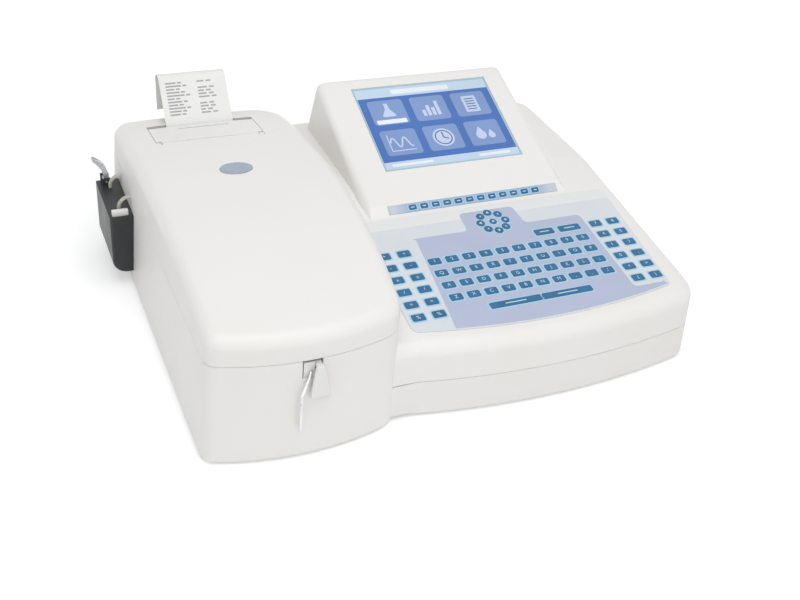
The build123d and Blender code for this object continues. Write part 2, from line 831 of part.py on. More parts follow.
lug = (holder_right + fit_gap, holder_right + 4.8)
paddle_top_z, paddle_foot_z = 80.0, 54.0
with BuildPart() as aspirate_paddle:
    with BuildSketch(Plane.XZ.offset(-front_y + 1.6)) as face:
        with BuildLine():
            Polyline(
                (needle_x + 1.8, paddle_top_z),
                (lug[1] + 0.6, paddle_top_z),
                (needle_x + 13.5, paddle_foot_z),
                (needle_x - 1.5, paddle_foot_z),
                close=True,
            )
        make_face()
        fillet(face.vertices(), 1.5)
    extrude(amount=-paddle_thickness)
    block(lug, (front_y - 1, paddle_y + 0.5), (paddle_pivot_z - 1.5, paddle_pivot_z + 1.5))
    rod((lug[0], paddle_y, paddle_pivot_z), X, lug[1] - lug[0], 2.4)
    rod((lug[0] - 1, paddle_y, paddle_pivot_z), X, 8, pivot_bore, Mode.SUBTRACT)
finish(aspirate_paddle.part, "aspirate_paddle")


# ================================================================ photometer
with BuildPart() as optics_base:
    block((lamp_x - 2, lamp_x + 98), (optics_y - 73, optics_y + 35), (plate_z, plate_top))
    fillet(optics_base.edges().filter_by(Axis.Z), 6)
    pedestal_x = (wheel_x + 14, wheel_x + 38)
    block(pedestal_x, (wheel_y - 12, wheel_y + 12), (plate_z, optics_z - 14))
    for corner in plate_corners:
        rod((*corner, plate_z - 1), Z, 10, screw_radius + 0.1, Mode.SUBTRACT)
finish(optics_base.part, "optics_base")

board_top = board_z + board_thickness
with BuildPart() as inner_screws:
    for corner in plate_corners:
        rod((*corner, plate_top), Z, 2, 3.0)
        rod((*corner, floor_top + 1), Z, plate_top - floor_top, screw_radius)
    for corner in board_corners:
        rod((*corner, board_top), Z, 2, 3.0)
        rod((*corner, board_top - 6), Z, 6.5, screw_radius)
finish(inner_screws.part, "inner_screws")

with BuildPart() as lamp_house:
    block((lamp_x, lamp_x + 36), (optics_y - 18, optics_y + 18), (plate_top, 72))
    for step in range(5):
        middle = lamp_x + 6 + 6 * step
        block((middle - 1.5, middle + 1.5), (optics_y - 19, optics_y + 19), (64, 73), Mode.SUBTRACT)
    rod((lamp_x + 8, optics_y, optics_z), X, 30, 9, Mode.SUBTRACT)
finish(lamp_house.part, "lamp_house")

with BuildPart() as lamp_bulb:
    rod((lamp_x + 8, optics_y, optics_z), X, 7, 8.8)
    rod((lamp_x + 15, optics_y, optics_z), X, 10, 5.5)
    with Locations((lamp_x + 25, optics_y, optics_z)):
        Sphere(5.5)
finish(lamp_bulb.part, "lamp_bulb")

with BuildPart() as lens_tube:
    rod((lamp_x + 38, optics_y, optics_z), X, 4, 7.4)
    fillet(lens_tube.faces().sort_by(Axis.X)[-1].edges(), 2.4)
    ring((lamp_x + 36, optics_y, optics_z), X, 11, 9, 7.5)
finish(lens_tube.part, "lens_tube")

with BuildPart() as filter_wheel:
    rod((wheel_x, wheel_y, optics_z), X, 4, 28)
    rod((wheel_x + 4, wheel_y, optics_z), X, 6, 8)
    rod((wheel_x + 4, wheel_y, optics_z), X, 34, 2.5)
    with BuildSketch(Plane(origin=(wheel_x, wheel_y, optics_z), z_dir=X)):
        with PolarLocations(21, 8):
            Circle(5.05)
    extrude(amount=4, mode=Mode.SUBTRACT)
finish(filter_wheel.part, "filter_wheel")

with BuildPart() as optical_filters:
    with BuildSketch(Plane(origin=(wheel_x + 0.5, wheel_y, optics_z), z_dir=X)):
        with PolarLocations(21, 8):
            Circle(5.0)
    extrude(amount=3)
finish(optical_filters.part, "optical_filters")

with BuildPart() as filter_motor:
    block((wheel_x + 12, wheel_x + 40), (wheel_y - 14, wheel_y + 14), (optics_z - 14, optics_z + 14))
    fillet(filter_motor.edges().filter_by(Axis.X), 3)
    rod((wheel_x + 11, wheel_y, optics_z), X, 28.5, 2.5 + pin_clearance, Mode.SUBTRACT)
finish(filter_motor.part, "filter_motor")

with BuildPart() as cell_holder:
    block((cell_x - 10, cell_x + 10), (optics_y - 6.7, optics_y + 8), (plate_top, 62))
    block((cell_x - 5.2, cell_x + 5.2), (optics_y - 5.2, optics_y + 5.2), (35, 63), Mode.SUBTRACT)
    rod((cell_x - 11, optics_y, optics_z), X, 22, 2.5, Mode.SUBTRACT)
finish(cell_holder.part, "cell_holder")

with BuildPart() as flow_cell:
    block((cell_x - 5, cell_x + 5), (optics_y - 5, optics_y + 5), (35, cell_top))
    for side in (-1, 1):
        rod((cell_x + 3 * side, optics_y, 40), Z, 40, 0.8, Mode.SUBTRACT)
finish(flow_cell.part, "flow_cell")

with BuildPart() as detector_board:
    block((cell_x + 16, cell_x + 17.6), (optics_y - 14, optics_y + 14), (plate_top, 70))
    rod((cell_x + 10.3, optics_y, optics_z), X, 5.7, 4.6)
finish(detector_board.part, "detector_board")


# ================================================================ sample pump
leg_reach = roller_circle + roller_radius + tube_radius + tube_clearance
chamber_radius = leg_reach + tube_radius + tube_clearance
tube_plane_x = pump_outer_x + 9.8
roller_start_x = tube_plane_x - roller_length / 2
lever_half_width = 3.5
lever_ear_thickness = 1.8
lever_ear_inner = lever_half_width + fit_gap
lever_pin_half = lever_ear_inner + lever_ear_thickness
lever_x, lever_z = pump_outer_x + 7.5, pump_top_z + 4
lever_y = pump_y + chamber_radius + fit_gap + lever_pin_half
with BuildPart() as pump_body:
    with BuildSketch(Plane.XZ.offset(-pump_y)):
        with BuildLine():
            Polyline(
                (pump_outer_x, pump_bottom_z),
                (left_x + 10, pump_bottom_z),
                (left_x + 10, pump_top_z),
                (pump_outer_x, pump_top_z),
                close=True,
            )
        make_face()
    extrude(amount=pump_length / 2, both=True)
    outer_edges = pump_body.edges().filter_by(Axis.Y).group_by(Axis.X)[0].sort_by(Axis.Z)
    fillet(outer_edges[0], pump_bottom_round)
    end_edges = pump_body.faces().sort_by(Axis.X)[0].edges().filter_by(Axis.Z)
    fillet(end_edges, pump_edge_round)
    add(module_block(floor_z, lid_crest_z, -seat_gap), mode=Mode.SUBTRACT)
    rod((pump_outer_x + 3.4, pump_y, rotor_z), X, 40, chamber_radius, Mode.SUBTRACT)
    for side in (-1, 1):
        rod(
            (tube_plane_x, pump_y + side * leg_reach, rotor_z),
            Z,
            60,
            tube_radius + tube_clearance,
            Mode.SUBTRACT,
        )
    block(
        (pump_outer_x + 2.2, pump_outer_x + 15.8),
        (pump_y - pump_length / 2 + 2.2, pump_y - pump_length / 2 + 7.2),
        (pump_top_z - 6, pump_top_z + 1),
        Mode.SUBTRACT,
    )
    for side in (-1, 1):
        ear_y = lever_y + side * (lever_ear_inner + lever_ear_thickness / 2)
        block(
            (lever_x - 3.5, lever_x + 3.5),
            (ear_y - lever_ear_thickness / 2, ear_y + lever_ear_thickness / 2),
            (pump_top_z - 1, lever_z + 3),
        )
    rod((lever_x, lever_y - 10, lever_z), Y, 20, pivot_bore, Mode.SUBTRACT)
finish(pump_body.part, "pump_body")

rotor_left_x = roller_start_x - rotor_gap - rotor_disc
rotor_right_x = roller_start_x + roller_length + rotor_gap
with BuildPart() as pump_rotor:
    rod((rotor_left_x, pump_y, rotor_z), X, rotor_disc, 15.5)
    rod((rotor_right_x, pump_y, rotor_z), X, rotor_disc, 15.5)
    rod((rotor_left_x, pump_y, rotor_z), X, rotor_right_x - rotor_left_x, 5)
    rod((rotor_left_x, pump_y, rotor_z), X, left_x + 30 - rotor_left_x, 3)
    for step in range(3):
        angle = radians(90 + 120 * step)
        at = (rotor_left_x, pump_y + roller_circle * cos(angle), rotor_z + roller_circle * sin(angle))
        rod(at, X, rotor_right_x - rotor_left_x, roller_pin_radius)
finish(pump_rotor.part, "pump_rotor")

for step in range(3):
    angle = radians(90 + 120 * step)
    at = (roller_start_x, pump_y + roller_circle * cos(angle), rotor_z + roller_circle * sin(angle))
    with BuildPart() as pump_roller:
        ring(at, X, roller_length, roller_radius, roller_pin_radius + pin_clearance)
    finish(pump_roller.part, f"pump_roller_{step + 1}")

with BuildPart() as pump_tube:
    front_leg, rear_leg = pump_y - leg_reach, pump_y + leg_reach
    with BuildLine() as route:
        FilletPolyline(
            (tube_inner_x, front_leg, tube_port_z),
            (tube_plane_x, front_leg, tube_port_z),
            (tube_plane_x, front_leg, rotor_z),
            radius=tube_bend,
        )
        ThreePointArc(
            (tube_plane_x, front_leg, rotor_z),
            (tube_plane_x, pump_y, rotor_z - leg_reach),
            (tube_plane_x, rear_leg, rotor_z),
        )
        FilletPolyline(
            (tube_plane_x, rear_leg, rotor_z),
            (tube_plane_x, rear_leg, tube_port_z),
            (tube_inner_x, rear_leg, tube_port_z),
            radius=tube_bend,
        )
    with BuildSketch(Plane(origin=route.line @ 0, z_dir=route.line % 0)):
        Circle(tube_radius)
    sweep(path=route.line)
finish(pump_tube.part, "pump_tube")

shoe_y = pump_y - pump_length / 2
with BuildPart() as pump_shoe:
    block(
        (pump_outer_x + 2.5, pump_outer_x + 15.5),
        (shoe_y + 2.5, shoe_y + 6.9),
        (pump_top_z - 5, pump_top_z + 4),
    )
    fillet(pump_shoe.edges().filter_by(Axis.Z), 0.8)
finish(pump_shoe.part, "pump_shoe")

lever_hub = 2.6
lever_foot = (lever_x - 1.6, lever_z), (lever_x + 2.4, lever_z)
lever_tip = (left_x - pump_reach, lever_z + 19)
lever_lip = (left_x - pump_reach + 0.8, lever_z + 20.6)
with BuildPart() as pump_lever:
    with BuildSketch(Plane.XZ.offset(-lever_y)):
        with BuildLine():
            ThreePointArc(lever_foot[0], (lever_x - 3.2, lever_z + 10), lever_tip)
            Line(lever_tip, lever_lip)
            ThreePointArc(lever_lip, (lever_x + 0.2, lever_z + 12), lever_foot[1])
            Line(lever_foot[1], lever_foot[0])
        make_face()
    extrude(amount=lever_half_width, both=True)
    rod((lever_x, lever_y - lever_half_width, lever_z), Y, 2 * lever_half_width, lever_hub)
    rod((lever_x, lever_y - 10, lever_z), Y, 20, pivot_bore, Mode.SUBTRACT)
finish(pump_lever.part, "pump_lever")

with BuildPart() as pivot_pins:
    rod((lever_x, lever_y - lever_pin_half, lever_z), Y, 2 * lever_pin_half, pivot_radius)
    rod((holder_right - 2.3, paddle_y, paddle_pivot_z), X, 7.4, pivot_radius)
finish(pivot_pins.part, "pivot_pins")

motor_x = wall_x(rotor_z + 15) + wall + seat_gap
with BuildPart() as pump_motor:
    block((motor_x, motor_x + 34), (pump_y - 15, pump_y + 15), (rotor_z - 15, rotor_z + 15))
    fillet(pump_motor.edges().filter_by(Axis.X), 4)
    rod((motor_x - 1, pump_y, rotor_z), X, left_x + 32 - motor_x, 3 + pin_clearance, Mode.SUBTRACT)
finish(pump_motor.part, "pump_motor")

inner_tube_radius = 1.25
with BuildPart() as flow_tubes:
    tube(
        [
            (needle_x, slot_back_y + seat_gap, needle_z),
            (needle_x, front_y + 100, needle_z),
            (cell_x - 3, front_y + 165, needle_z),
            (cell_x - 3, optics_y, needle_z),
            (cell_x - 3, optics_y, cell_top + seat_gap),
        ],
        [40.0, 40.0, 5.5],
        inner_tube_radius,
    )
    tube(
        [
            (tube_inner_x + seat_gap, front_leg, tube_port_z),
            (lamp_x + 20, front_leg, tube_port_z),
            (cell_x + 3, optics_y, tube_port_z),
            (cell_x + 3, optics_y, cell_top + seat_gap),
        ],
        [40.0, 7.5],
        inner_tube_radius,
    )
    tube(
        [
            (tube_inner_x + seat_gap, rear_leg, tube_port_z),
            (port_x, rear_leg, tube_port_z),
            (port_x, rear_leg, drain_z),
            (port_x, rear_y - wall - 3, drain_z),
        ],
        [10.0, 12.0],
        inner_tube_radius,
    )
finish(flow_tubes.part, "flow_tubes")

with BuildPart() as drain_port:
    rod((port_x, rear_y - wall - 3 + seat_gap, drain_z), Y, 3 - 2 * seat_gap, 5.0)
    rod((port_x, rear_y - wall - seat_gap, drain_z), Y, wall + 1.5, 3.0)
    rod((port_x, rear_y + seat_gap, drain_z), Y, 1.6, 5.0)
    with BuildSketch(Plane(origin=(port_x, rear_y + 1.5, drain_z), z_dir=Y)):
        Circle(2.6)
    with BuildSketch(Plane(origin=(port_x, rear_y + 7.5, drain_z), z_dir=Y)):
        Circle(1.9)
    loft()
    rod((port_x, rear_y - 20, drain_z), Y, 40, 1.1, Mode.SUBTRACT)
finish(drain_port.part, "drain_port")


# ================================================================ cooling fan
fan_y = rear_y - wall - seat_gap - 10
with BuildPart() as fan_frame:
    block((fan_x - 20, fan_x + 20), (fan_y, fan_y + 10), (fan_z - 20, fan_z + 20))
    fillet(fan_frame.edges().filter_by(Axis.Y), 3)
    rod((fan_x, fan_y - 1, fan_z), Y, 10.2, 18.5, Mode.SUBTRACT)
    block((fan_x - 19, fan_x + 19), (fan_y + 8.8, fan_y + 10), (fan_z - 1.5, fan_z + 1.5))
    rod((fan_x, fan_y + 8.8, fan_z), Y, 1.2, 8)
    rod((fan_x, fan_y + 3, fan_z), Y, 6, 1.5)
    with BuildSketch(Plane.XZ.offset(-(fan_y + 9.2))):
        with Locations((fan_x, fan_z)):
            with PolarLocations(13.5, 8, start_angle=22.5):
                Circle(4.2)
    extrude(amount=-2, mode=Mode.SUBTRACT)
finish(fan_frame.part, "fan_frame")

with BuildPart() as fan_rotor:
    ring((fan_x, fan_y + 1, fan_z), Y, 7, 9, 1.5 + pin_clearance)
    for step in range(7):
        angle = radians(360 / 7 * step)
        outward = (sin(angle), 0, cos(angle))
        blade_plane = Plane(origin=(fan_x, fan_y + 4.5, fan_z), x_dir=Y, z_dir=outward)
        with BuildSketch(blade_plane.offset(8)):
            Rectangle(6.5, 1.0, rotation=38)
        extrude(amount=9.6)
finish(fan_rotor.part, "fan_rotor")


# ================================================================ console base and cover
with BuildPart() as base_tray:
    add(open_shell(console_block, console_seam_z))
    for centre in pillars:
        rod((*centre, floor_z), Z, pillar_split_z - floor_z, pillar_radius)
    for centre in board_corners:
        rod((*centre, floor_z), Z, board_z - floor_z, 3.5)
    for centre in pillars:
        rod((*centre, floor_z - 1), Z, 4, screw_head_radius + fit_gap, Mode.SUBTRACT)
        rod((*centre, floor_z - 1), Z, 60, screw_radius + fit_gap, Mode.SUBTRACT)
    for centre in board_corners:
        rod((*centre, floor_top), Z, 20, screw_radius + pin_clearance, Mode.SUBTRACT)
    block(
        (panel_left, panel_right),
        (rear_y - wall - 1, rear_y + 1),
        (14, console_seam_z + 10),
        Mode.SUBTRACT,
    )
finish(base_tray.part, "base_tray")


def overlay_sketch(gap):
    """The keypad overlay's outline on the floor of its recess in the deck, drawn in by gap."""
    flat = cos(radians(deck_slope))
    west = module_right_x + overlay_margin_left + gap
    east = right_x - overlay_margin_right - gap
    narrow = east - overlay_taper
    north = -overlay_margin_rear - gap
    crest = (front_y + console_setback + overlay_margin_front + gap - ledge_y) / flat
    corner = crest + overlay_bow
    with BuildSketch(deck_plane.offset(-overlay_recess)) as outline:
        with BuildLine():
            Line((west, north), (west, corner))
            ThreePointArc((west, corner), ((west + east) / 2, crest), (narrow, corner))
            Line((narrow, corner), (east, north))
            Line((east, north), (west, north))
        make_face()
        fillet(outline.vertices(), overlay_corner - gap)
    return outline.sketch


with BuildPart() as cover_form:
    add(cover_block(console_seam_z + seam_gap, 0, console_edge_round, head_round))

with BuildPart() as cover_pillars:
    for centre in pillars:
        rod((*centre, pillar_split_z + seat_gap), Z, 80, pillar_radius)
    add(roof_block(1.0, head_round), mode=Mode.INTERSECT)

with BuildPart() as console_cover:
    add(cover_form.part)
    add(
        cover_block(console_seam_z - 1, wall, console_edge_round - wall, head_round - wall),
        mode=Mode.SUBTRACT,
    )
    add(
        console_block(
            console_seam_z - 1,
            console_seam_z + tongue_height + fit_gap,
            wall - tongue_thickness - fit_gap,
        ),
        mode=Mode.SUBTRACT,
    )
    add(cover_pillars.part)
    for centre in pillars:
        rod((*centre, pillar_split_z - 1), Z, 18, screw_radius + pin_clearance, Mode.SUBTRACT)
    extrude(overlay_sketch(0), amount=5, mode=Mode.SUBTRACT)
    with BuildSketch(ledge_plane.offset(-overlay_recess)):
        with Locations((strip_x, ledge_slant / 2)):
            Rectangle(strip_width, strip_height)
    extrude(amount=2, mode=Mode.SUBTRACT)
    with BuildSketch(head_plane.offset(-window_thickness - window_recess)):
        with Locations((screen_x, screen_v)):
            Rectangle(screen_width + 2 * window_border, screen_height + 2 * window_border)
    extrude(amount=10, mode=Mode.SUBTRACT)
    with BuildSketch(head_plane.offset(-wall - 1)):
        with Locations((screen_x, screen_v)):
            Rectangle(screen_width, screen_height)
    extrude(amount=10, mode=Mode.SUBTRACT)
    block(
        (panel_left, panel_right),
        (rear_y - wall - 1, rear_y + 1),
        (console_seam_z - 5, 58),
        Mode.SUBTRACT,
    )
finish(console_cover.part, "console_cover")

with BuildPart() as case_screws:
    for centre in pillars:
        rod((*centre, floor_z + 0.5), Z, 2.5, screw_head_radius)
        rod((*centre, floor_z + 2), Z, pillar_split_z + 15 - floor_z, screw_radius)
finish(case_screws.part, "case_screws")

with BuildPart() as rubber_feet:
    for centre in feet:
        with BuildSketch(Plane.XY):
            with Locations(centre):
                Circle(foot_radius)
        extrude(amount=foot_height)
    fillet(rubber_feet.faces().filter_by(Axis.Z).group_by(Axis.Z)[0].edges(), 0.6)
finish(rubber_feet.part, "rubber_feet")


# ================================================================ keypad, strip and display
with BuildPart() as keypad_overlay:
    extrude(overlay_sketch(seat_gap), amount=overlay_thickness)
finish(keypad_overlay.part, "keypad_overlay")

key_zero_x = module_right_x + 62.8
row_zero = -46.4
grid_keys = [(column, row) for column in range(10) for row in range(1, 5)]
side_columns = (-37.3, -20.5, 155.5, 172.3)
with BuildPart() as keypad_keys:
    with BuildSketch(deck_top):
        with Locations([
            (key_zero_x + key_pitch_x * column, row_zero - key_pitch_y * row)
            for column, row in grid_keys
        ]):
            RectangleRounded(key_size_x, key_size_y, key_corner)
        with Locations([
            (key_zero_x + offset_x, row_zero - key_pitch_y * row)
            for offset_x in side_columns
            for row in range(6)
        ]):
            RectangleRounded(key_size_x, key_size_y, key_corner)
        with Locations((key_zero_x + 105.8, row_zero)):
            RectangleRounded(17.5, key_size_y, key_corner)
        with Locations((key_zero_x + 129.7, row_zero)):
            RectangleRounded(20, key_size_y, key_corner)
        with Locations(
            (key_zero_x + 43.4, row_zero - 71.3), (key_zero_x + 89.1, row_zero - 71.3)
        ):
            RectangleRounded(44, 6.2, key_corner)
        with Locations((key_zero_x + 68.7, row_zero + 21.6)):
            Circle(3.2)
            with PolarLocations(11.5, 8):
                Circle(3.6)
    extrude(amount=key_height)
finish(keypad_keys.part, "keypad_keys")

with BuildPart() as function_strip:
    with BuildSketch(ledge_plane.offset(-overlay_recess)):
        with Locations((strip_x, ledge_slant / 2)):
            Rectangle(strip_width - 2 * seat_gap, strip_height - 2 * seat_gap)
    extrude(amount=overlay_thickness)
finish(function_strip.part, "function_strip")

with BuildPart() as function_keys:
    with BuildSketch(ledge_plane.offset(overlay_thickness - overlay_recess)):
        with Locations((strip_x, ledge_slant / 2)):
            with GridLocations(strip_key_pitch, 1, strip_key_count, 1):
                RectangleRounded(6.6, 4.2, 0.8)
    extrude(amount=key_height)
finish(function_keys.part, "function_keys")

with BuildPart() as display_window:
    with BuildSketch(head_plane.offset(-window_thickness - window_recess)):
        with Locations((screen_x, screen_v)):
            Rectangle(
                screen_width + 2 * window_border - 2 * seat_gap,
                screen_height + 2 * window_border - 2 * seat_gap,
            )
    extrude(amount=window_thickness)
finish(display_window.part, "display_window")

with BuildPart() as display_module:
    with BuildSketch(head_plane.offset(-wall - seat_gap - 9)):
        with Locations((screen_x, screen_v)):
            Rectangle(screen_width + 9, screen_height + 8)
    extrude(amount=9)
finish(display_module.part, "display_module")


# ================================================================ electronics in the console
board_x, board_y = board_corners[0]
with BuildPart() as main_board:
    block(
        (board_x - 6, board_corners[3][0] + 6),
        (board_y - 6, board_corners[3][1] + 6),
        (board_z, board_top),
    )
    for centre in board_corners:
        rod((*centre, board_z - 1), Z, 5, screw_radius + seat_gap, Mode.SUBTRACT)
    block((board_x + 20, board_x + 48), (board_y + 20, board_y + 48), (board_top, board_top + 3))
    block((board_x + 62, board_x + 76), (board_y + 20, board_y + 50), (board_top, board_top + 2.5))
    block((board_x + 82, board_x + 96), (board_y + 20, board_y + 50), (board_top, board_top + 2.5))
    block((board_x + 20, board_x + 60), (board_y + 100, board_y + 108), (board_top, board_top + 9))
    for step in range(4):
        rod((board_x + 110, board_y + 30 + 16 * step, board_top), Z, 11, 5)
finish(main_board.part, "main_board")

supply_x, supply_y = panel_right - 90, board_corners[3][1] + 14
with BuildPart() as power_supply:
    block((supply_x, supply_x + 90), (supply_y, supply_y + 56), (floor_top, floor_top + 34))
    fillet(power_supply.edges().filter_by(Axis.Z), 2)
    with BuildSketch(Plane.XY.offset(floor_top + 34)):
        with Locations((supply_x + 45, supply_y + 28)):
            with GridLocations(8, 8, 8, 4):
                RegularPolygon(2.6, 6)
    extrude(amount=-1.5, mode=Mode.SUBTRACT)
finish(power_supply.part, "power_supply")


# ================================================================ rear panel
inlet_x, switch_x = panel_right - 24, panel_right - 58
serial_xs = (panel_left + 28, panel_left + 66)
rocker_tilt = 10.0


def port_block(centre_x, half_width, half_height, y, mode=Mode.ADD):
    """A box about the rear sockets' middle line, between two limits in Y."""
    block(
        (centre_x - half_width, centre_x + half_width),
        y,
        (port_z - half_height, port_z + half_height),
        mode,
    )


with BuildPart() as rear_panel:
    block((panel_left - 4, panel_right + 4), (panel_y - 2, panel_y), (9, 62))
    through = (panel_y - 3, panel_y + 1)
    port_block(inlet_x, 13.5 + fit_gap, 10 + fit_gap, through, Mode.SUBTRACT)
    port_block(switch_x, 8 + fit_gap, 12 + fit_gap, through, Mode.SUBTRACT)
    for serial_x in serial_xs:
        port_block(serial_x, 9 + fit_gap, 5 + fit_gap, through, Mode.SUBTRACT)
finish(rear_panel.part, "rear_panel")

with BuildPart() as power_inlet:
    port_block(inlet_x, 13.5, 10, (panel_y - 20, panel_y + 1))
    port_block(inlet_x, 17, 13, (panel_y + seat_gap, panel_y + 1.7))
    port_block(inlet_x, 11, 7, (panel_y - 15, panel_y + 5), Mode.SUBTRACT)
    for x, z in ((-7, -2), (0, 2), (7, -2)):
        blade_z = port_z + z
        block(
            (inlet_x + x - 1, inlet_x + x + 1),
            (panel_y - 16, panel_y - 4),
            (blade_z - 2, blade_z + 2),
        )
finish(power_inlet.part, "power_inlet")

rocker_y = panel_y - 1.5
rocker_pin_radius = 1.2
with BuildPart() as switch_frame:
    port_block(switch_x, 8, 12, (panel_y - 12, panel_y + 1))
    port_block(switch_x, 9.5, 13.5, (panel_y + seat_gap, panel_y + 1.5))
    port_block(switch_x, 6.3, 10.4, (panel_y - 10, panel_y + 5), Mode.SUBTRACT)
    hole = rocker_pin_radius + pin_clearance
    rod((switch_x - 7.5, rocker_y, port_z), X, 15, hole, Mode.SUBTRACT)
finish(switch_frame.part, "switch_frame")

rocker_plane = Plane(origin=(switch_x - 5.8, rocker_y, port_z), x_dir=Y, z_dir=X)
with BuildPart() as power_rocker:
    with BuildSketch(rocker_plane.rotated((-rocker_tilt, 0, 0))):
        with BuildLine():
            Polyline((-5, -7), (4.5, -9.3), (2.8, 0), (4.5, 9.3), (-5, 7), close=True)
        make_face()
    extrude(amount=11.6)
    rod((switch_x - 7.3, rocker_y, port_z), X, 14.6, rocker_pin_radius)
finish(power_rocker.part, "power_rocker")

with BuildPart() as serial_ports:
    for serial_x in serial_xs:
        port_block(serial_x, 15.5, 6.3, (panel_y + seat_gap, panel_y + 1.1))
        port_block(serial_x, 9, 5, (panel_y - 10, panel_y + 6))
        port_block(serial_x, 8, 4, (panel_y + 1, panel_y + 7), Mode.SUBTRACT)
finish(serial_ports.part, "serial_ports")
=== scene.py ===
import json
from math import acos, atan2, cos, pi, radians, sin, sqrt, tau

import bmesh
import bpy
from mathutils import Matrix, Vector
from mathutils.bvhtree import BVHTree


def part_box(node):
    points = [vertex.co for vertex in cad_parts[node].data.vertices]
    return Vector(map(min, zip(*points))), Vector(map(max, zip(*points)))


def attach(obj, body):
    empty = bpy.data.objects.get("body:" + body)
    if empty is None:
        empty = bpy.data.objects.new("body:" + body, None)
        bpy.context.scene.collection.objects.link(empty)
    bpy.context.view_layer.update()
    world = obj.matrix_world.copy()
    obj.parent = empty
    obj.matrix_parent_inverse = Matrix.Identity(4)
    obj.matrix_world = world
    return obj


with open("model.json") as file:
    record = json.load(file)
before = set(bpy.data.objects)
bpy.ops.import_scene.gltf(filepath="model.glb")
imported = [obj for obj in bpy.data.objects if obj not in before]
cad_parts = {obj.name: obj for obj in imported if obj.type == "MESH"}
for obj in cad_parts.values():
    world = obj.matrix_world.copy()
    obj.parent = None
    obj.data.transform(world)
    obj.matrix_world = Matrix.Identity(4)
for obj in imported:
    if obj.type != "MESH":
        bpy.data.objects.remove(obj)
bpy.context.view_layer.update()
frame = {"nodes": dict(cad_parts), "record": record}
nodes = frame["nodes"]
MM = 0.001

# ---------------------------------------------------------------- places, from the frame
overlay_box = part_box("keypad_overlay")
strip_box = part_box("function_strip")
window_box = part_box("display_window")
slip_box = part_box("paper_slip")
panel_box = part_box("rear_panel")
hinge_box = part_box("hinge_leaves_fixed")
right_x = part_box("base_tray")[1].x
floor_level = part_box("rubber_feet")[0].z

ledge_foot_y = -7.5 * MM
ledge_foot_z = 82.2 * MM
ledge_top_y = 1.0 * MM
ledge_top_z = 88.2 * MM
deck_tilt = radians(7.4)
head_tilt = radians(21.0)
ledge_tilt = atan2(ledge_top_z - ledge_foot_z, ledge_top_y - ledge_foot_y)


class Face:
    """A flat face of the object: u to the right as seen, v up along it, w out of it."""

    def __init__(self, origin, right, up, out):
        self.origin, self.right = Vector(origin), Vector(right)
        self.up, self.out = Vector(up), Vector(out)

    def at(self, u, v, w=0.0):
        """The point at u and v, a height w over the face."""
        return self.origin + self.right * u + self.up * v + self.out * w

    def matrix(self, u, v, w=0.0):
        """Places a flat thing drawn in XY on the face."""
        turned = Matrix((self.right, self.up, self.out)).transposed().to_4x4()
        return Matrix.Translation(self.at(u, v, w)) @ turned


def slope(y, z, tilt):
    """A face that starts at a height over the floor and rises towards the rear."""
    return Face((0, y, z), (1, 0, 0), (0, cos(tilt), sin(tilt)), (0, -sin(tilt), cos(tilt)))


deck = slope(ledge_foot_y, ledge_foot_z, deck_tilt)
ledge = slope(ledge_foot_y, ledge_foot_z, ledge_tilt)
head = slope(ledge_top_y, ledge_top_z, head_tilt)


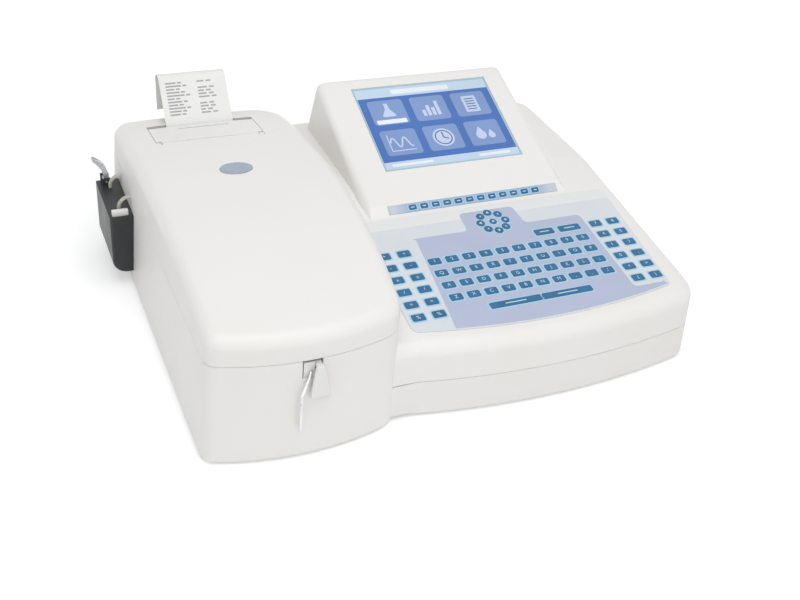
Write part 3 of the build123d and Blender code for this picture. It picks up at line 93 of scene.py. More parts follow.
# ---------------------------------------------------------------- shader helpers
class Shader:
    """A procedural material on one Principled shader; object coordinates are the row frame."""

    def __init__(self, name, color, roughness, **constants):
        self.material = bpy.data.materials.new(name)
        self.material.use_nodes = True
        self.tree = self.material.node_tree
        self.main = self.tree.nodes["Principled BSDF"]
        self.main.inputs["Base Color"].default_value = (*color, 1)
        self.main.inputs["Roughness"].default_value = roughness
        for socket, value in constants.items():
            self.main.inputs[socket.replace("_", " ")].default_value = value
        self.place = self.add("ShaderNodeTexCoord").outputs["Object"]

    def add(self, kind, settings=None, **links):
        """Adds a node; links are values or outputs for its inputs, by name or _number."""
        node = self.tree.nodes.new(kind)
        for key, value in (settings or {}).items():
            setattr(node, key, value)
        for key, value in links.items():
            socket = node.inputs[int(key[1:])] if key[1:].isdigit() else node.inputs[key]
            self.feed(socket, value)
        return node

    def feed(self, socket, value):
        """Links an output to a socket, or sets a constant on it."""
        if isinstance(value, bpy.types.NodeSocket):
            self.tree.links.new(value, socket)
        else:
            socket.default_value = value

    def math(self, operation, a, b=0.0, clamp=False):
        """One sum or product of two values."""
        settings = {"operation": operation, "use_clamp": clamp}
        return self.add("ShaderNodeMath", settings, _0=a, _1=b).outputs[0]

    def scaled(self, scale):
        """The object coordinates, stretched by a factor for each axis."""
        settings = {"operation": "MULTIPLY"}
        return self.add("ShaderNodeVectorMath", settings, _0=self.place, _1=scale).outputs[0]

    def noise(self, size, detail=2.0, stretch=None):
        """Noise from 0 to 1 with features of about the given size."""
        place = self.scaled(stretch) if stretch else self.place
        node = self.add("ShaderNodeTexNoise", Vector=place, Scale=1 / size, Detail=detail)
        return node.outputs["Fac"]

    def cells(self, size):
        """The distance from the middle of scattered cells of about the given size."""
        node = self.add("ShaderNodeTexVoronoi", Vector=self.place, Scale=1 / size)
        return node.outputs["Distance"]

    def span(self, value, low, high, out_low, out_high):
        """Maps a range onto another, clamped."""
        return self.add("ShaderNodeMapRange", _0=value, _1=low, _2=high, _3=out_low,
                        _4=out_high).outputs[0]

    def mix(self, share, a, b):
        """Goes from colour a to colour b as the share goes from 0 to 1."""
        node = self.add("ShaderNodeMix", {"data_type": "RGBA"}, _0=share)
        for socket, value in ((node.inputs[6], a), (node.inputs[7], b)):
            if not isinstance(value, bpy.types.NodeSocket):
                value = (*value, 1)
            self.feed(socket, value)
        return node.outputs[2]

    def edges(self, radius):
        """From 0 on a flat face to 1 on an edge, and the rounded normal."""
        bevel = self.add("ShaderNodeBevel", {"samples": 4}, Radius=radius).outputs[0]
        flat = self.add("ShaderNodeNewGeometry").outputs["Normal"]
        settings = {"operation": "DOT_PRODUCT"}
        turn = self.add("ShaderNodeVectorMath", settings, _0=bevel, _1=flat).outputs["Value"]
        return self.span(turn, 0.99, 0.8, 0.0, 1.0), bevel

    def crevices(self, distance):
        """1 in the open, towards 0 in seams and corners."""
        settings = {"samples": 6, "only_local": False}
        return self.add("ShaderNodeAmbientOcclusion", settings, Distance=distance).outputs["AO"]

    def finish(self, color=None, roughness=None, height=None, depth=0.0, strength=1.0,
               normal=None):
        """Feeds what is given to the Principled shader; height is bumped by a depth."""
        if color is not None:
            self.feed(self.main.inputs["Base Color"], color)
        if roughness is not None:
            self.feed(self.main.inputs["Roughness"], roughness)
        if height is not None:
            bump = self.add("ShaderNodeBump", Height=height, Distance=depth, Strength=strength)
            if normal is not None:
                self.feed(bump.inputs["Normal"], normal)
            normal = bump.outputs[0]
        if normal is not None:
            self.feed(self.main.inputs["Normal"], normal)
        return self.material


def shade(color, factor):
    """The colour with all channels scaled alike."""
    return tuple(channel * factor for channel in color)


def tint(color, factors):
    """The colour with each channel scaled by its own factor."""
    return tuple(channel * factor for channel, factor in zip(color, factors))


def lighter(color, factor, lift=0.0):
    """The colour made brighter, but never past white."""
    return tuple(min(1.0, channel * factor + lift) for channel in color)


# ---------------------------------------------------------------- materials
def moulded_plastic(name, color, roughness=0.42):
    """Textured injection moulding: fine grain, handling marks, edges rubbed smooth, and painted
    shade that darkens its seams and corners.
    """
    grain_size, grain_depth = 0.45 * MM, 0.02 * MM
    patch_size, smudge_size, seam_reach = 120 * MM, 22 * MM, 5 * MM
    handling, edge_polish = 0.05, 0.12
    s = Shader(name, color, roughness, Specular_IOR_Level=0.42)
    edge, rounded = s.edges(0.5 * MM)
    broad = s.noise(patch_size, 3)
    smudge = s.noise(smudge_size, 4)
    aged = s.mix(s.span(broad, 0.35, 0.7, 0, 1), color, tint(color, (0.985, 0.98, 0.965)))
    # Painted shade: the colour darkens towards 0.72 of itself in seams and corners, following the
    # occlusion mask.
    crevice_shade_mask = s.span(s.crevices(seam_reach), 0.55, 0.1, 0, 0.35)
    dust_and_painted_shade = s.mix(crevice_shade_mask, aged, shade(color, 0.72))
    rubbed = s.mix(s.math("MULTIPLY", edge, 0.5), dust_and_painted_shade, lighter(color, 1.06))
    wear = s.span(smudge, 0.35, 0.75, roughness - handling, roughness + handling)
    polished = s.math("SUBTRACT", wear, s.math("MULTIPLY", edge, edge_polish), clamp=True)
    return s.finish(rubbed, polished, s.noise(grain_size, 2), grain_depth, 0.5, rounded)


def printed_film(name, color, roughness=0.38, fades=()):
    """Printed polyester film under a very fine matt grain.

    Its ground may turn to other colours: each fade is (axis, start, end, colour)."""
    dot_size, grain_size, grain_depth = 0.35 * MM, 0.25 * MM, 0.008 * MM
    s = Shader(name, color, roughness, Specular_IOR_Level=0.45)
    tone = s.mix(s.span(s.noise(35 * MM, 3), 0.35, 0.7, 0, 1), color, shade(color, 0.955))
    for axis, start, end, other in fades:
        along = s.add("ShaderNodeSeparateXYZ", Vector=s.place).outputs[axis]
        tone = s.mix(s.span(along, start, end, 0, 1), tone, other)
    dots = s.mix(s.span(s.cells(dot_size), 0.1, 0.6, 0.05, 0), tone, shade(color, 0.9))
    gloss = s.span(s.noise(14 * MM, 4), 0.35, 0.75, roughness - 0.06, roughness + 0.06)
    return s.finish(dots, gloss, s.noise(grain_size, 1), grain_depth, 0.4)


def key_cap(name, color):
    """Embossed membrane key: darker towards its rim, worn paler in the middle."""
    s = Shader(name, color, 0.34, Specular_IOR_Level=0.5)
    edge, rounded = s.edges(0.35 * MM)
    patch = s.mix(s.span(s.noise(9 * MM, 2), 0.35, 0.7, 0, 1), color, shade(color, 1.25))
    rim = s.mix(s.math("MULTIPLY", edge, 0.6), patch, shade(color, 0.7))
    gloss = s.span(s.noise(5 * MM, 3), 0.3, 0.7, 0.27, 0.42)
    return s.finish(rim, gloss, s.noise(0.3 * MM, 1), 0.008 * MM, 0.4, rounded)


def flat_print(name, color, roughness=0.45):
    """Ink on film or plastic, slightly uneven."""
    s = Shader(name, color, roughness)
    tone = s.mix(s.span(s.noise(1.2 * MM, 3), 0.35, 0.7, 0, 1), color, shade(color, 0.93))
    gloss = s.span(s.noise(6 * MM, 2), 0.3, 0.7, roughness - 0.05, roughness + 0.05)
    return s.finish(tone, gloss, s.noise(0.2 * MM, 1), 0.004 * MM, 0.3)


def lit_glass(name, color, glow=0.7):
    """A part of the lit picture behind the display's window: coloured light under gloss."""
    black, unlit, pixel_pitch = (0, 0, 0), shade(color, 0.3), 0.4 * MM
    s = Shader(name, unlit, 0.14, Coat_Weight=0.2, Coat_Roughness=0.08)
    pixels = s.add("ShaderNodeTexVoronoi", {"distance": "CHEBYCHEV"}, Vector=s.place,
                   Scale=1 / pixel_pitch, Randomness=0.0).outputs["Distance"]
    grid = s.span(pixels, 0.35, 0.5, 1.0, 0.9)
    broad = s.span(s.noise(70 * MM, 2), 0.3, 0.7, 0.94, 1.04)
    level = s.math("MULTIPLY", grid, broad)
    s.feed(s.main.inputs["Emission Color"], s.mix(level, black, color))
    s.main.inputs["Emission Strength"].default_value = glow
    sheen = s.span(s.noise(18 * MM, 4), 0.35, 0.7, 0.08, 0.2)
    return s.finish(s.mix(level, black, unlit), sheen, s.noise(0.5 * MM, 1), 0.002 * MM, 0.3)


def brushed_metal(name, color, roughness=0.32, stretch=(1, 1, 14)):
    """Rolled or ground metal with fine lines and handling marks."""
    s = Shader(name, color, roughness, Metallic=1.0)
    edge, rounded = s.edges(0.25 * MM)
    lines = s.noise(2.2 * MM, 3, stretch)
    marks = s.noise(16 * MM, 4)
    tone = s.mix(s.span(marks, 0.35, 0.75, 0, 1), color, shade(color, 0.84))
    bright = s.mix(s.math("MULTIPLY", edge, 0.6), tone, lighter(color, 1.25))
    gloss = s.span(lines, 0.3, 0.7, roughness - 0.08, roughness + 0.12)
    return s.finish(bright, gloss, lines, 0.006 * MM, 0.35, rounded)


def blasted_metal(name, color, roughness=0.5):
    """Cast or bead-blasted metal, bright where its edges were touched."""
    s = Shader(name, color, roughness, Metallic=1.0)
    edge, rounded = s.edges(0.3 * MM)
    grains = s.noise(0.5 * MM, 3)
    tone = s.mix(s.span(s.noise(25 * MM, 3), 0.35, 0.7, 0, 1), color, shade(color, 0.85))
    bright = s.mix(s.math("MULTIPLY", edge, 0.55), tone, lighter(color, 1.3, 0.02))
    gloss = s.span(s.noise(8 * MM, 3), 0.3, 0.7, roughness - 0.08, roughness + 0.08)
    return s.finish(bright, gloss, grains, 0.02 * MM, 0.5, rounded)


def clear_moulding(name, color, roughness, transmission, ior=1.46):
    """Translucent plastic, rubber or glass with faint flow lines."""
    s = Shader(name, color, roughness, Transmission_Weight=transmission, IOR=ior)
    _, rounded = s.edges(0.3 * MM)
    flow = s.noise(9 * MM, 3)
    tone = s.mix(s.span(flow, 0.3, 0.7, 0, 1), color, shade(color, 0.85))
    gloss = s.span(s.noise(4 * MM, 3), 0.3, 0.7, max(0.02, roughness - 0.05), roughness + 0.08)
    return s.finish(tone, gloss, flow, 0.02 * MM, 0.3, rounded)


def soft_rubber(name, color):
    """Matt rubber, dusty in patches and grey at its worn edges."""
    s = Shader(name, color, 0.72, Specular_IOR_Level=0.3)
    edge, rounded = s.edges(0.4 * MM)
    # Real dust: paler patches at random; no shade is painted on this rubber.
    dust_and_painted_shade = s.mix(s.span(s.noise(6 * MM, 4), 0.4, 0.75, 0, 1), color, shade(color, 1.7))
    worn = s.mix(s.math("MULTIPLY", edge, 0.5), dust_and_painted_shade, shade(color, 2.0))
    gloss = s.span(s.noise(2 * MM, 3), 0.3, 0.7, 0.6, 0.82)
    return s.finish(worn, gloss, s.noise(0.6 * MM, 3), 0.03 * MM, 0.6, rounded)


def thermal_paper(name, color):
    """Smooth coated paper with faint fibres and a slight warm cast."""
    s = Shader(name, color, 0.6, Specular_IOR_Level=0.3)
    fibres = s.noise(1.1 * MM, 4, (1, 1, 0.35))
    tone = s.mix(s.span(fibres, 0.35, 0.7, 0, 1), color, tint(color, (0.97, 0.965, 0.94)))
    gloss = s.span(s.noise(12 * MM, 3), 0.3, 0.7, 0.5, 0.68)
    return s.finish(tone, gloss, fibres, 0.02 * MM, 0.5)


def circuit_board(name, color):
    """Green solder mask with paler tracks under it."""
    s = Shader(name, color, 0.3, Coat_Weight=0.3)
    tracks = s.add("ShaderNodeTexBrick", {"offset": 0.5}, Vector=s.place, Scale=1 / (9 * MM),
                   Color1=(*color, 1), Color2=(*shade(color, 0.8), 1),
                   Mortar=(*shade(color, 2.2), 1)).outputs["Color"]
    gloss = s.span(s.noise(5 * MM, 3), 0.3, 0.7, 0.22, 0.4)
    return s.finish(tracks, gloss, s.noise(1.5 * MM, 2), 0.02 * MM, 0.4)


ivory = (0.87, 0.857, 0.838)
shadow_ivory = (0.85, 0.835, 0.815)
lavender = (0.48, 0.53, 0.69)
pale_film = (0.725, 0.76, 0.80)
film_margin = (0.81, 0.81, 0.81)
strip_end = (0.57, 0.61, 0.68)
halo_blue = (0.42, 0.68, 0.84)
key_blue = (0.012, 0.125, 0.27)
strip_blue = (0.38, 0.49, 0.67)
screen_blue = (0.045, 0.155, 0.50)
tile_blue = (0.20, 0.32, 0.62)
icon_pale = (0.56, 0.66, 0.88)
bar_pale = (0.56, 0.71, 0.87)
margin_y = overlay_box[1].y - 13 * MM
margin_fade = ((1, margin_y - 0.15 * MM, margin_y + 0.15 * MM, film_margin),)
strip_fades = (
    (0, strip_box[0].x + 17 * MM, strip_box[0].x + 5 * MM, strip_end),
    (0, strip_box[1].x - 19 * MM, strip_box[1].x - 6 * MM, strip_end),
)

looks = {
    "case_ivory": moulded_plastic("case_ivory", ivory),
    "case_shadow": moulded_plastic("case_shadow", shadow_ivory, 0.46),
    "badge": printed_film("badge_film", (0.36, 0.43, 0.51), 0.3),
    "overlay": printed_film("overlay_film", pale_film, fades=margin_fade),
    "key_print": key_cap("key_print", key_blue),
    "screen_glass": lit_glass("screen_ground", screen_blue),
    "display_metal": brushed_metal("display_metal", (0.6, 0.61, 0.62)),
    "steel": brushed_metal("zinc_steel", (0.66, 0.66, 0.65), 0.34),
    "stainless": brushed_metal("stainless", (0.76, 0.76, 0.77), 0.2, (1, 1, 1)),
    "black_plastic": moulded_plastic("black_plastic", (0.028, 0.030, 0.033), 0.4),
    "white_plastic": moulded_plastic("white_plastic", (0.84, 0.84, 0.82), 0.36),
    "smoke_plastic": clear_moulding("smoke_plastic", (0.72, 0.74, 0.76), 0.22, 0.55),
    "rubber": soft_rubber("rubber", (0.035, 0.035, 0.036)),
    "tube": clear_moulding("silicone_tube", (0.84, 0.81, 0.73), 0.3, 0.35, 1.41),
    "paper": thermal_paper("thermal_paper", (0.86, 0.86, 0.845)),
    "aluminium": blasted_metal("aluminium", (0.68, 0.68, 0.69)),
    "black_anodised": blasted_metal("black_anodised", (0.045, 0.045, 0.05), 0.45),
    "glass": clear_moulding("optical_glass", (0.86, 0.92, 0.94), 0.04, 0.9, 1.5),
    "board": circuit_board("circuit_board", (0.025, 0.17, 0.075)),
}
lavender_film = printed_film("lavender_film", lavender)
halo_film = printed_film("halo_film", halo_blue)
strip_film = printed_film("strip_film", strip_blue, fades=strip_fades)
legend_ink = flat_print("legend_ink", (0.66, 0.78, 0.84))
slip_ink = flat_print("slip_ink", (0.40, 0.40, 0.41), 0.6)
tile_light = lit_glass("tile_light", tile_blue)
icon_light = lit_glass("icon_light", icon_pale)
bar_light = lit_glass("bar_light", bar_pale)
white_light = lit_glass("white_light", (0.85, 0.9, 0.95))
dark_light = lit_glass("dark_light", (0.03, 0.09, 0.30))
# Near-black for the screws' cross recesses: painted shade where the real steel recess is only dark
# from shade.
painted_recess_shade = flat_print("painted_recess_shade", (0.02, 0.02, 0.022), 0.6)

for part in frame["record"]["subparts"]:
    node = nodes[part["node"]]
    node.data.materials.clear()
    node.data.materials.append(looks[part["material_slot"]])
nodes["function_strip"].data.materials[0] = strip_film


# ---------------------------------------------------------------- mesh helpers
def round_rect(u, v, width, height, radius=0.0, steps=4):
    """Outline of a rectangle about a centre, with round corners."""
    points = []
    for turn, (side_u, side_v) in enumerate(((1, 1), (-1, 1), (-1, -1), (1, -1))):
        centre_u = u + side_u * (width / 2 - radius)
        centre_v = v + side_v * (height / 2 - radius)
        for step in range(steps + 1 if radius else 1):
            angle = (turn + step / steps) * pi / 2
            points.append((centre_u + radius * cos(angle), centre_v + radius * sin(angle)))
    return points


def disc(u, v, radius, count=28):
    """Outline of a round plate."""
    return [(u + radius * cos(tau * n / count), v + radius * sin(tau * n / count))
            for n in range(count)]


def rounded(points, radius, steps=5):
    """A closed outline whose corners are cut by smooth curves of about that radius."""
    out = []
    for n, corner in enumerate(points):
        corner = Vector(corner)
        before, after = Vector(points[n - 1]), Vector(points[(n + 1) % len(points)])
        reach = min(radius, (before - corner).length / 2, (after - corner).length / 2)
        start = corner + (before - corner).normalized() * reach
        end = corner + (after - corner).normalized() * reach
        for step in range(steps + 1):
            t = step / steps
            out.append(tuple(start * (1 - t) ** 2 + corner * 2 * t * (1 - t) + end * t**2))
    return out


def bar(start, end, width):
    """Outline of a straight bar between two points."""
    a, b = Vector(start), Vector(end)
    side = (b - a).normalized().orthogonal() * width / 2
    return [tuple(a - side), tuple(b - side), tuple(b + side), tuple(a + side)]


def arc_band(u, v, radius, width, start, end, steps=24):
    """Outline of part of a ring, between two angles in degrees."""
    angles = [radians(start + (end - start) * n / steps) for n in range(steps + 1)]
    outer, inner = ([(u + edge * cos(angle), v + edge * sin(angle)) for angle in angles]
                    for edge in (radius + width / 2, radius - width / 2))
    return outer + inner[::-1]


def add_piece(name, shape, material, body, smooth=True, outward=True):
    """Turns a finished bmesh into a piece on a body; outward points its faces out first."""
    if outward:
        bmesh.ops.recalc_face_normals(shape, faces=shape.faces)
    mesh = bpy.data.meshes.new(name)
    shape.to_mesh(mesh)
    shape.free()
    mesh.materials.append(material)
    if smooth:
        for polygon in mesh.polygons:
            polygon.use_smooth = True
        mesh.set_sharp_from_angle(angle=radians(35))
    piece = bpy.data.objects.new(name, mesh)
    bpy.context.scene.collection.objects.link(piece)
    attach(piece, body)


def plates(name, face, outlines, low, high, material, body):
    """One piece of flat plates that stand on a face between two heights over it."""
    shape = bmesh.new()
    for outline in outlines:
        upper = [shape.verts.new(face.at(u, v, high)) for u, v in outline]
        lower = [shape.verts.new(face.at(u, v, low)) for u, v in outline]
        shape.faces.new(upper)
        shape.faces.new(lower[::-1])
        for n in range(len(outline)):
            m = (n + 1) % len(outline)
            shape.faces.new((upper[m], upper[n], lower[n], lower[m]))
    bmesh.ops.recalc_face_normals(shape, faces=shape.faces)
    bmesh.ops.triangulate(shape, faces=[f for f in shape.faces if len(f.verts) > 4])
    add_piece(name, shape, material, body, smooth=False, outward=False)


def loft(shape, rings):
    """Adds the closed skin through rings of vertices, with a face over each end."""
    count = len(rings[0])
    for lower, upper in zip(rings, rings[1:]):
        for n in range(count):
            m = (n + 1) % count
            shape.faces.new((lower[n], lower[m], upper[m], upper[n]))
    shape.faces.new(rings[0][::-1])
    shape.faces.new(rings[-1])


def lathe(shape, axis_at, outline, count=24):
    """Adds a turned form: outline is (radius, height) from one end of the axis to the other."""
    rings = []
    for radius, height in outline:
        points = [Vector((u, v, height)) for u, v in disc(0, 0, radius, count)]
        rings.append([shape.verts.new(axis_at @ point) for point in points])
    loft(shape, rings)


def screw_heads(name, places, radius, height, body):
    """Pan heads with a cross recess, drawn as thin near-black boxes of painted shade; each place is
    a matrix whose Z points out of the head.
    """
    heads, recess_shade_boxes = bmesh.new(), bmesh.new()
    profile = [(radius, -0.2 * MM), (radius, height * 0.35), (radius * 0.9, height * 0.7),
               (radius * 0.62, height * 0.94), (radius * 0.3, height)]
    arm = Matrix.Diagonal((radius * 1.1, radius * 0.26, 0.12 * MM, 1))
    lift = Matrix.Translation((0, 0, height * 0.97))
    for place in places:
        lathe(heads, place, profile)
        # Painted shade: two thin crossed boxes on the head's top stand in for the dark hollow of
        # the recess.
        for turn in (0, pi / 2):
            spin = Matrix.Rotation(turn + pi / 4, 4, "Z")
            bmesh.ops.create_cube(recess_shade_boxes, size=1.0, matrix=place @ lift @ spin @ arm)
    add_piece(name, heads, looks["steel"], body)
    add_piece(name + "_recesses", recess_shade_boxes, painted_recess_shade, body, smooth=False, outward=False)


def legends(name, face, marks, height, material, body):
    """Figures and letters as thin raised print; marks are (text, u, v, size)."""
    shape = bmesh.new()
    for text, u, v, size in marks:
        curve = bpy.data.curves.new("legend", "FONT")
        curve.body = text
        curve.size = size
        curve.align_x = "CENTER"
        curve.align_y = "CENTER"
        curve.extrude = 0.02 * MM
        curve.resolution_u = 3
        holder = bpy.data.objects.new("legend", curve)
        mesh = bpy.data.meshes.new_from_object(holder)
        mesh.transform(face.matrix(u, v, height))
        shape.from_mesh(mesh)
        bpy.data.meshes.remove(mesh)
        bpy.data.objects.remove(holder)
        bpy.data.curves.remove(curve)
    add_piece(name, shape, material, body, smooth=False, outward=False)


# ---------------------------------------------------------------- keypad print
key_zero_u = right_x - 204.2 * MM
key_pitch_u = 15.0 * MM
key_pitch_v = 13.9 * MM
row_zero_v = -46.4 * MM
film_top = 0.3 * MM
key_top = 0.8 * MM
print_low = -0.15 * MM
halo_width = 13.0 * MM
halo_height = 9.8 * MM
halo_corner = 1.8 * MM
legend_size = 4.6 * MM
mark_width = 0.9 * MM
side_columns = (-37.3 * MM, -20.5 * MM, 155.5 * MM, 172.3 * MM)
grid_keys = [(key_zero_u + key_pitch_u * column, row_zero_v - key_pitch_v * row)
             for row in range(1, 5) for column in range(10)]
side_keys = [(key_zero_u + offset, row_zero_v - key_pitch_v * row)
             for offset in side_columns for row in range(6)]
wide_keys = [(key_zero_u + 105.8 * MM, 17.5 * MM), (key_zero_u + 129.7 * MM, 20 * MM)]
long_keys = [(key_zero_u + 43.4 * MM, 44 * MM), (key_zero_u + 89.1 * MM, 44 * MM)]
long_v = row_zero_v - 71.3 * MM
pad_u, pad_v = key_zero_u + 68.7 * MM, row_zero_v + 21.6 * MM
pad_circle = 11.5 * MM
pad_angles = [tau * n / 8 for n in range(8)]
pad_keys = [(pad_u + pad_circle * cos(angle), pad_v + pad_circle * sin(angle))
            for angle in pad_angles]


def overlay_front(u, margin):
    """V of the overlay's curved front edge, moved in by a margin."""
    west, east = overlay_box[0].x, overlay_box[1].x - 7 * MM
    middle, half = (west + east) / 2, (east - west) / 2
    crest = (overlay_box[0].y - ledge_foot_y) / cos(deck_tilt)
    bow = 11.0 * MM
    return crest + bow * min(1.0, abs(u - middle) / half) ** 2 + margin


def print_panel():
    """The lavender field behind the letter keys, with its bump round the cursor pad."""
    west, east = right_x - 212.5 * MM, right_x - 57.2 * MM
    top_west, top_east, bump_top = -30.9 * MM, -32.0 * MM, -9.3 * MM
    bump_west, bump_east, bump_flare = right_x - 160.5 * MM, right_x - 110.5 * MM, 1.5 * MM
    foot_west, foot_east = right_x - 218.5 * MM, right_x - 27.0 * MM
    cluster_foot = row_zero_v - 5.65 * key_pitch_v
    front_margin, corner, steps = 1.6 * MM, 4.5 * MM, 16
    front_us = [foot_west + (foot_east - foot_west) * n / steps for n in range(steps + 1)]
    upper = [
        (foot_east + 0.6 * MM, cluster_foot),
        (east, cluster_foot),
        (east, top_east),
        (bump_east + bump_flare, top_east),
        (bump_east, bump_top),
        (bump_west, bump_top),
        (bump_west - bump_flare, (top_west + top_east) / 2),
        (west, top_west),
    ]
    return [(u, overlay_front(u, front_margin)) for u in front_us] + rounded(upper, corner)


def key_halos():
    """Pale fields printed round every key."""
    margin, long_height = 2.6 * MM, 9.0 * MM
    fields = [round_rect(u, v, halo_width, halo_height, halo_corner)
              for u, v in grid_keys + side_keys]
    fields += [round_rect(u, row_zero_v, width + margin, halo_height, halo_corner)
               for u, width in wide_keys]
    fields += [round_rect(u, long_v, width + margin, long_height, halo_corner)
               for u, width in long_keys]
    fields.append(disc(pad_u, pad_v, 4.6 * MM))
    return fields + [disc(u, v, 4.7 * MM) for u, v in pad_keys]


plates("keypad_panel_print", deck, [print_panel()], print_low, film_top + 0.02 * MM,
       lavender_film, "base")
plates("keypad_halo_print", deck, key_halos(), print_low, film_top + 0.04 * MM, halo_film,
       "base")

grid_signs = "1234567890" "QWERTYUIOP" "ASDFGHJKL;" "ZXCVBNM,./"
side_signs = "+-x/=%" "+-x/=%" "7410<(" "852.>)"
key_marks = [(sign, *place, legend_size)
             for sign, place in zip(grid_signs + side_signs, grid_keys + side_keys)]
legends("key_legends", deck, key_marks, key_top + 0.02 * MM, legend_ink, "base")


def key_symbols():
    """Bars on the wide and long keys and arrows on the cursor pad."""
    reach = 9 * MM
    marks = [round_rect(u, row_zero_v, width * 0.5, mark_width, 0.4 * MM)
             for u, width in wide_keys]
    marks += [bar((u - reach, long_v), (u + reach, long_v), mark_width) for u, _ in long_keys]
    for n, (angle, (u, v)) in enumerate(zip(pad_angles, pad_keys)):
        tip = 1.7 * MM if n % 2 == 0 else 1.1 * MM
        marks.append([(u + tip * cos(angle + turn), v + tip * sin(angle + turn))
                      for turn in (0, tau / 3, 2 * tau / 3)])
    marks.append(disc(pad_u, pad_v, 1.0 * MM, 16))
    return marks


plates("key_symbols", deck, key_symbols(), key_top - 0.1 * MM, key_top + 0.04 * MM, legend_ink,
       "base")

# ---------------------------------------------------------------- function strip
strip_u = (strip_box[0].x + strip_box[1].x) / 2
strip_v = sqrt((ledge_top_y - ledge_foot_y) ** 2 + (ledge_top_z - ledge_foot_z) ** 2) / 2
strip_pitch = 10.46 * MM
strip_keys = [strip_u + strip_pitch * (n - 5.5) for n in range(12)]
strip_fields = [round_rect(u, strip_v, 8.6 * MM, 5.6 * MM, 1.0 * MM) for u in strip_keys]
strip_marks = [round_rect(u, strip_v, 3.0 * MM, 0.7 * MM) for u in strip_keys]
plates("strip_halo_print", ledge, strip_fields, print_low, film_top + 0.03 * MM, halo_film,
       "base")
plates("strip_key_marks", ledge, strip_marks, key_top - 0.1 * MM, key_top + 0.03 * MM,
       legend_ink, "base")

# ---------------------------------------------------------------- picture on the display
screen_u = (window_box[0].x + window_box[1].x) / 2
screen_v = 80.95 * MM
screen_width = 126.5 * MM
screen_height = 90.5 * MM
glass_top = -0.5 * MM
tile_width = 33.0 * MM
tile_height = 28.0 * MM
tile_pitch_u = 40.0 * MM
tile_pitch_v = 34.5 * MM
tile_centres = [(screen_u + (column - 1) * tile_pitch_u, screen_v + side * tile_pitch_v / 2)
                for side in (1, -1) for column in range(3)]


def screen_piece(name, outlines, level, material):
    """Part of the picture; a higher level lies over a lower one."""
    plates(name, head, outlines, glass_top - 0.1 * MM, glass_top + level * 0.02 * MM, material,
           "base")


def flask(u, v, s):
    """Outline of a conical flask of height s."""
    half = [(0.12, 0.5), (0.12, 0.1), (0.42, -0.42), (0.34, -0.5)]
    return ([(u - a * s, v + b * s) for a, b in half]
            + [(u + a * s, v + b * s) for a, b in half[::-1]])


def drop(u, v, s):
    """Outline of a drop of height s."""
    low = [(u + 0.32 * s * cos(radians(a)), v - 0.15 * s + 0.32 * s * sin(radians(a)))
           for a in range(150, 391, 15)]
    return low + [(u, v + 0.5 * s)]


def icon_shapes():
    """One plain figure for each tile: flask, bars, page, curve, dial and drop."""
    size, line = 19 * MM, 1.0 * MM
    flask_at, (bars_u, bars_v), page_at, (wave_u, wave_v), dial_at, (drops_u, drops_v) = (
        tile_centres)
    pale = [flask(flask_at[0], flask_at[1] + 2.5 * MM, size * 0.8)]
    for n, rise in enumerate((7 * MM, 12 * MM, 9 * MM, 16 * MM)):
        pale.append(round_rect(bars_u + (n - 1.5) * 4.6 * MM, bars_v - size / 2 + rise / 2 + 1 * MM,
                               3.2 * MM, rise, 0.4 * MM))
    pale.append(round_rect(*page_at, 14 * MM, 19 * MM, 1.2 * MM))
    wave = [(wave_u + (n - 8) * 1.25 * MM, wave_v + 5.5 * MM * sin(n * 0.72)) for n in range(17)]
    pale += [bar(p, q, 1.5 * MM) for p, q in zip(wave, wave[1:])]
    corner = (wave_u - 11 * MM, wave_v - 9 * MM)
    pale += [bar(corner, end, line) for end in ((wave_u + 11 * MM, wave_v - 9 * MM),
                                                (wave_u - 11 * MM, wave_v + 9 * MM))]
    pale.append(disc(*dial_at, 10 * MM, 40))
    pale.append(drop(drops_u - 4 * MM, drops_v, size * 0.8))
    pale.append(drop(drops_u + 6 * MM, drops_v - 2 * MM, size * 0.55))
    return pale


def icon_lines():
    """Darker lines inside the page and the dial."""
    (page_u, page_v), (dial_u, dial_v) = tile_centres[2], tile_centres[4]
    line, hand, half = 1.0 * MM, 1.1 * MM, 4.5 * MM
    dark = [bar((page_u - half, page_v + y * MM), (page_u + half, page_v + y * MM), line)
            for y in (6, 3, 0, -3, -6)]
    dark.append(arc_band(dial_u, dial_v, 7.6 * MM, line, 0, 359))
    dark += [bar((dial_u, dial_v), end, hand) for end in ((dial_u, dial_v + 6 * MM),
                                                         (dial_u + half, dial_v - 2 * MM))]
    return dark


edge_u, edge_v = screen_width / 2, screen_height / 2
title_height = 10.5 * MM
status_height = 7.5 * MM
status_line = 2.6 * MM
title_v = screen_v + edge_v - title_height / 2
status_v = screen_v - edge_v + status_height / 2
caption_u, caption_v = tile_centres[0][0], tile_centres[0][1] - 10.6 * MM
screen_piece("screen_bars", [
    round_rect(screen_u, title_v, screen_width, title_height),
    round_rect(screen_u, status_v, screen_width, status_height),
], 1, bar_light)
screen_piece("screen_title", [
    round_rect(screen_u - 2 * MM, title_v, 56 * MM, 5.2 * MM, 0.8 * MM),
    round_rect(screen_u - 38 * MM, status_v, 38 * MM, status_line, 0.6 * MM),
    round_rect(screen_u + 40 * MM, status_v, 30 * MM, status_line, 0.6 * MM),
    round_rect(caption_u, caption_v, 28 * MM, 4.6 * MM, 0.8 * MM),
], 3, white_light)
screen_piece("screen_tiles", [round_rect(u, v, tile_width, tile_height, 3 * MM)
                              for u, v in tile_centres], 1, tile_light)
screen_piece("screen_icons", icon_shapes(), 2, icon_light)
screen_piece("screen_icon_lines", icon_lines(), 3, dark_light)
border = 1.9 * MM
frame_bars = [
    round_rect(screen_u, screen_v + side * (edge_v + border / 2), screen_width + 2 * border, border)
    for side in (1, -1)
] + [
    round_rect(screen_u + side * (edge_u + border / 2), screen_v, border, screen_height)
    for side in (1, -1)
]
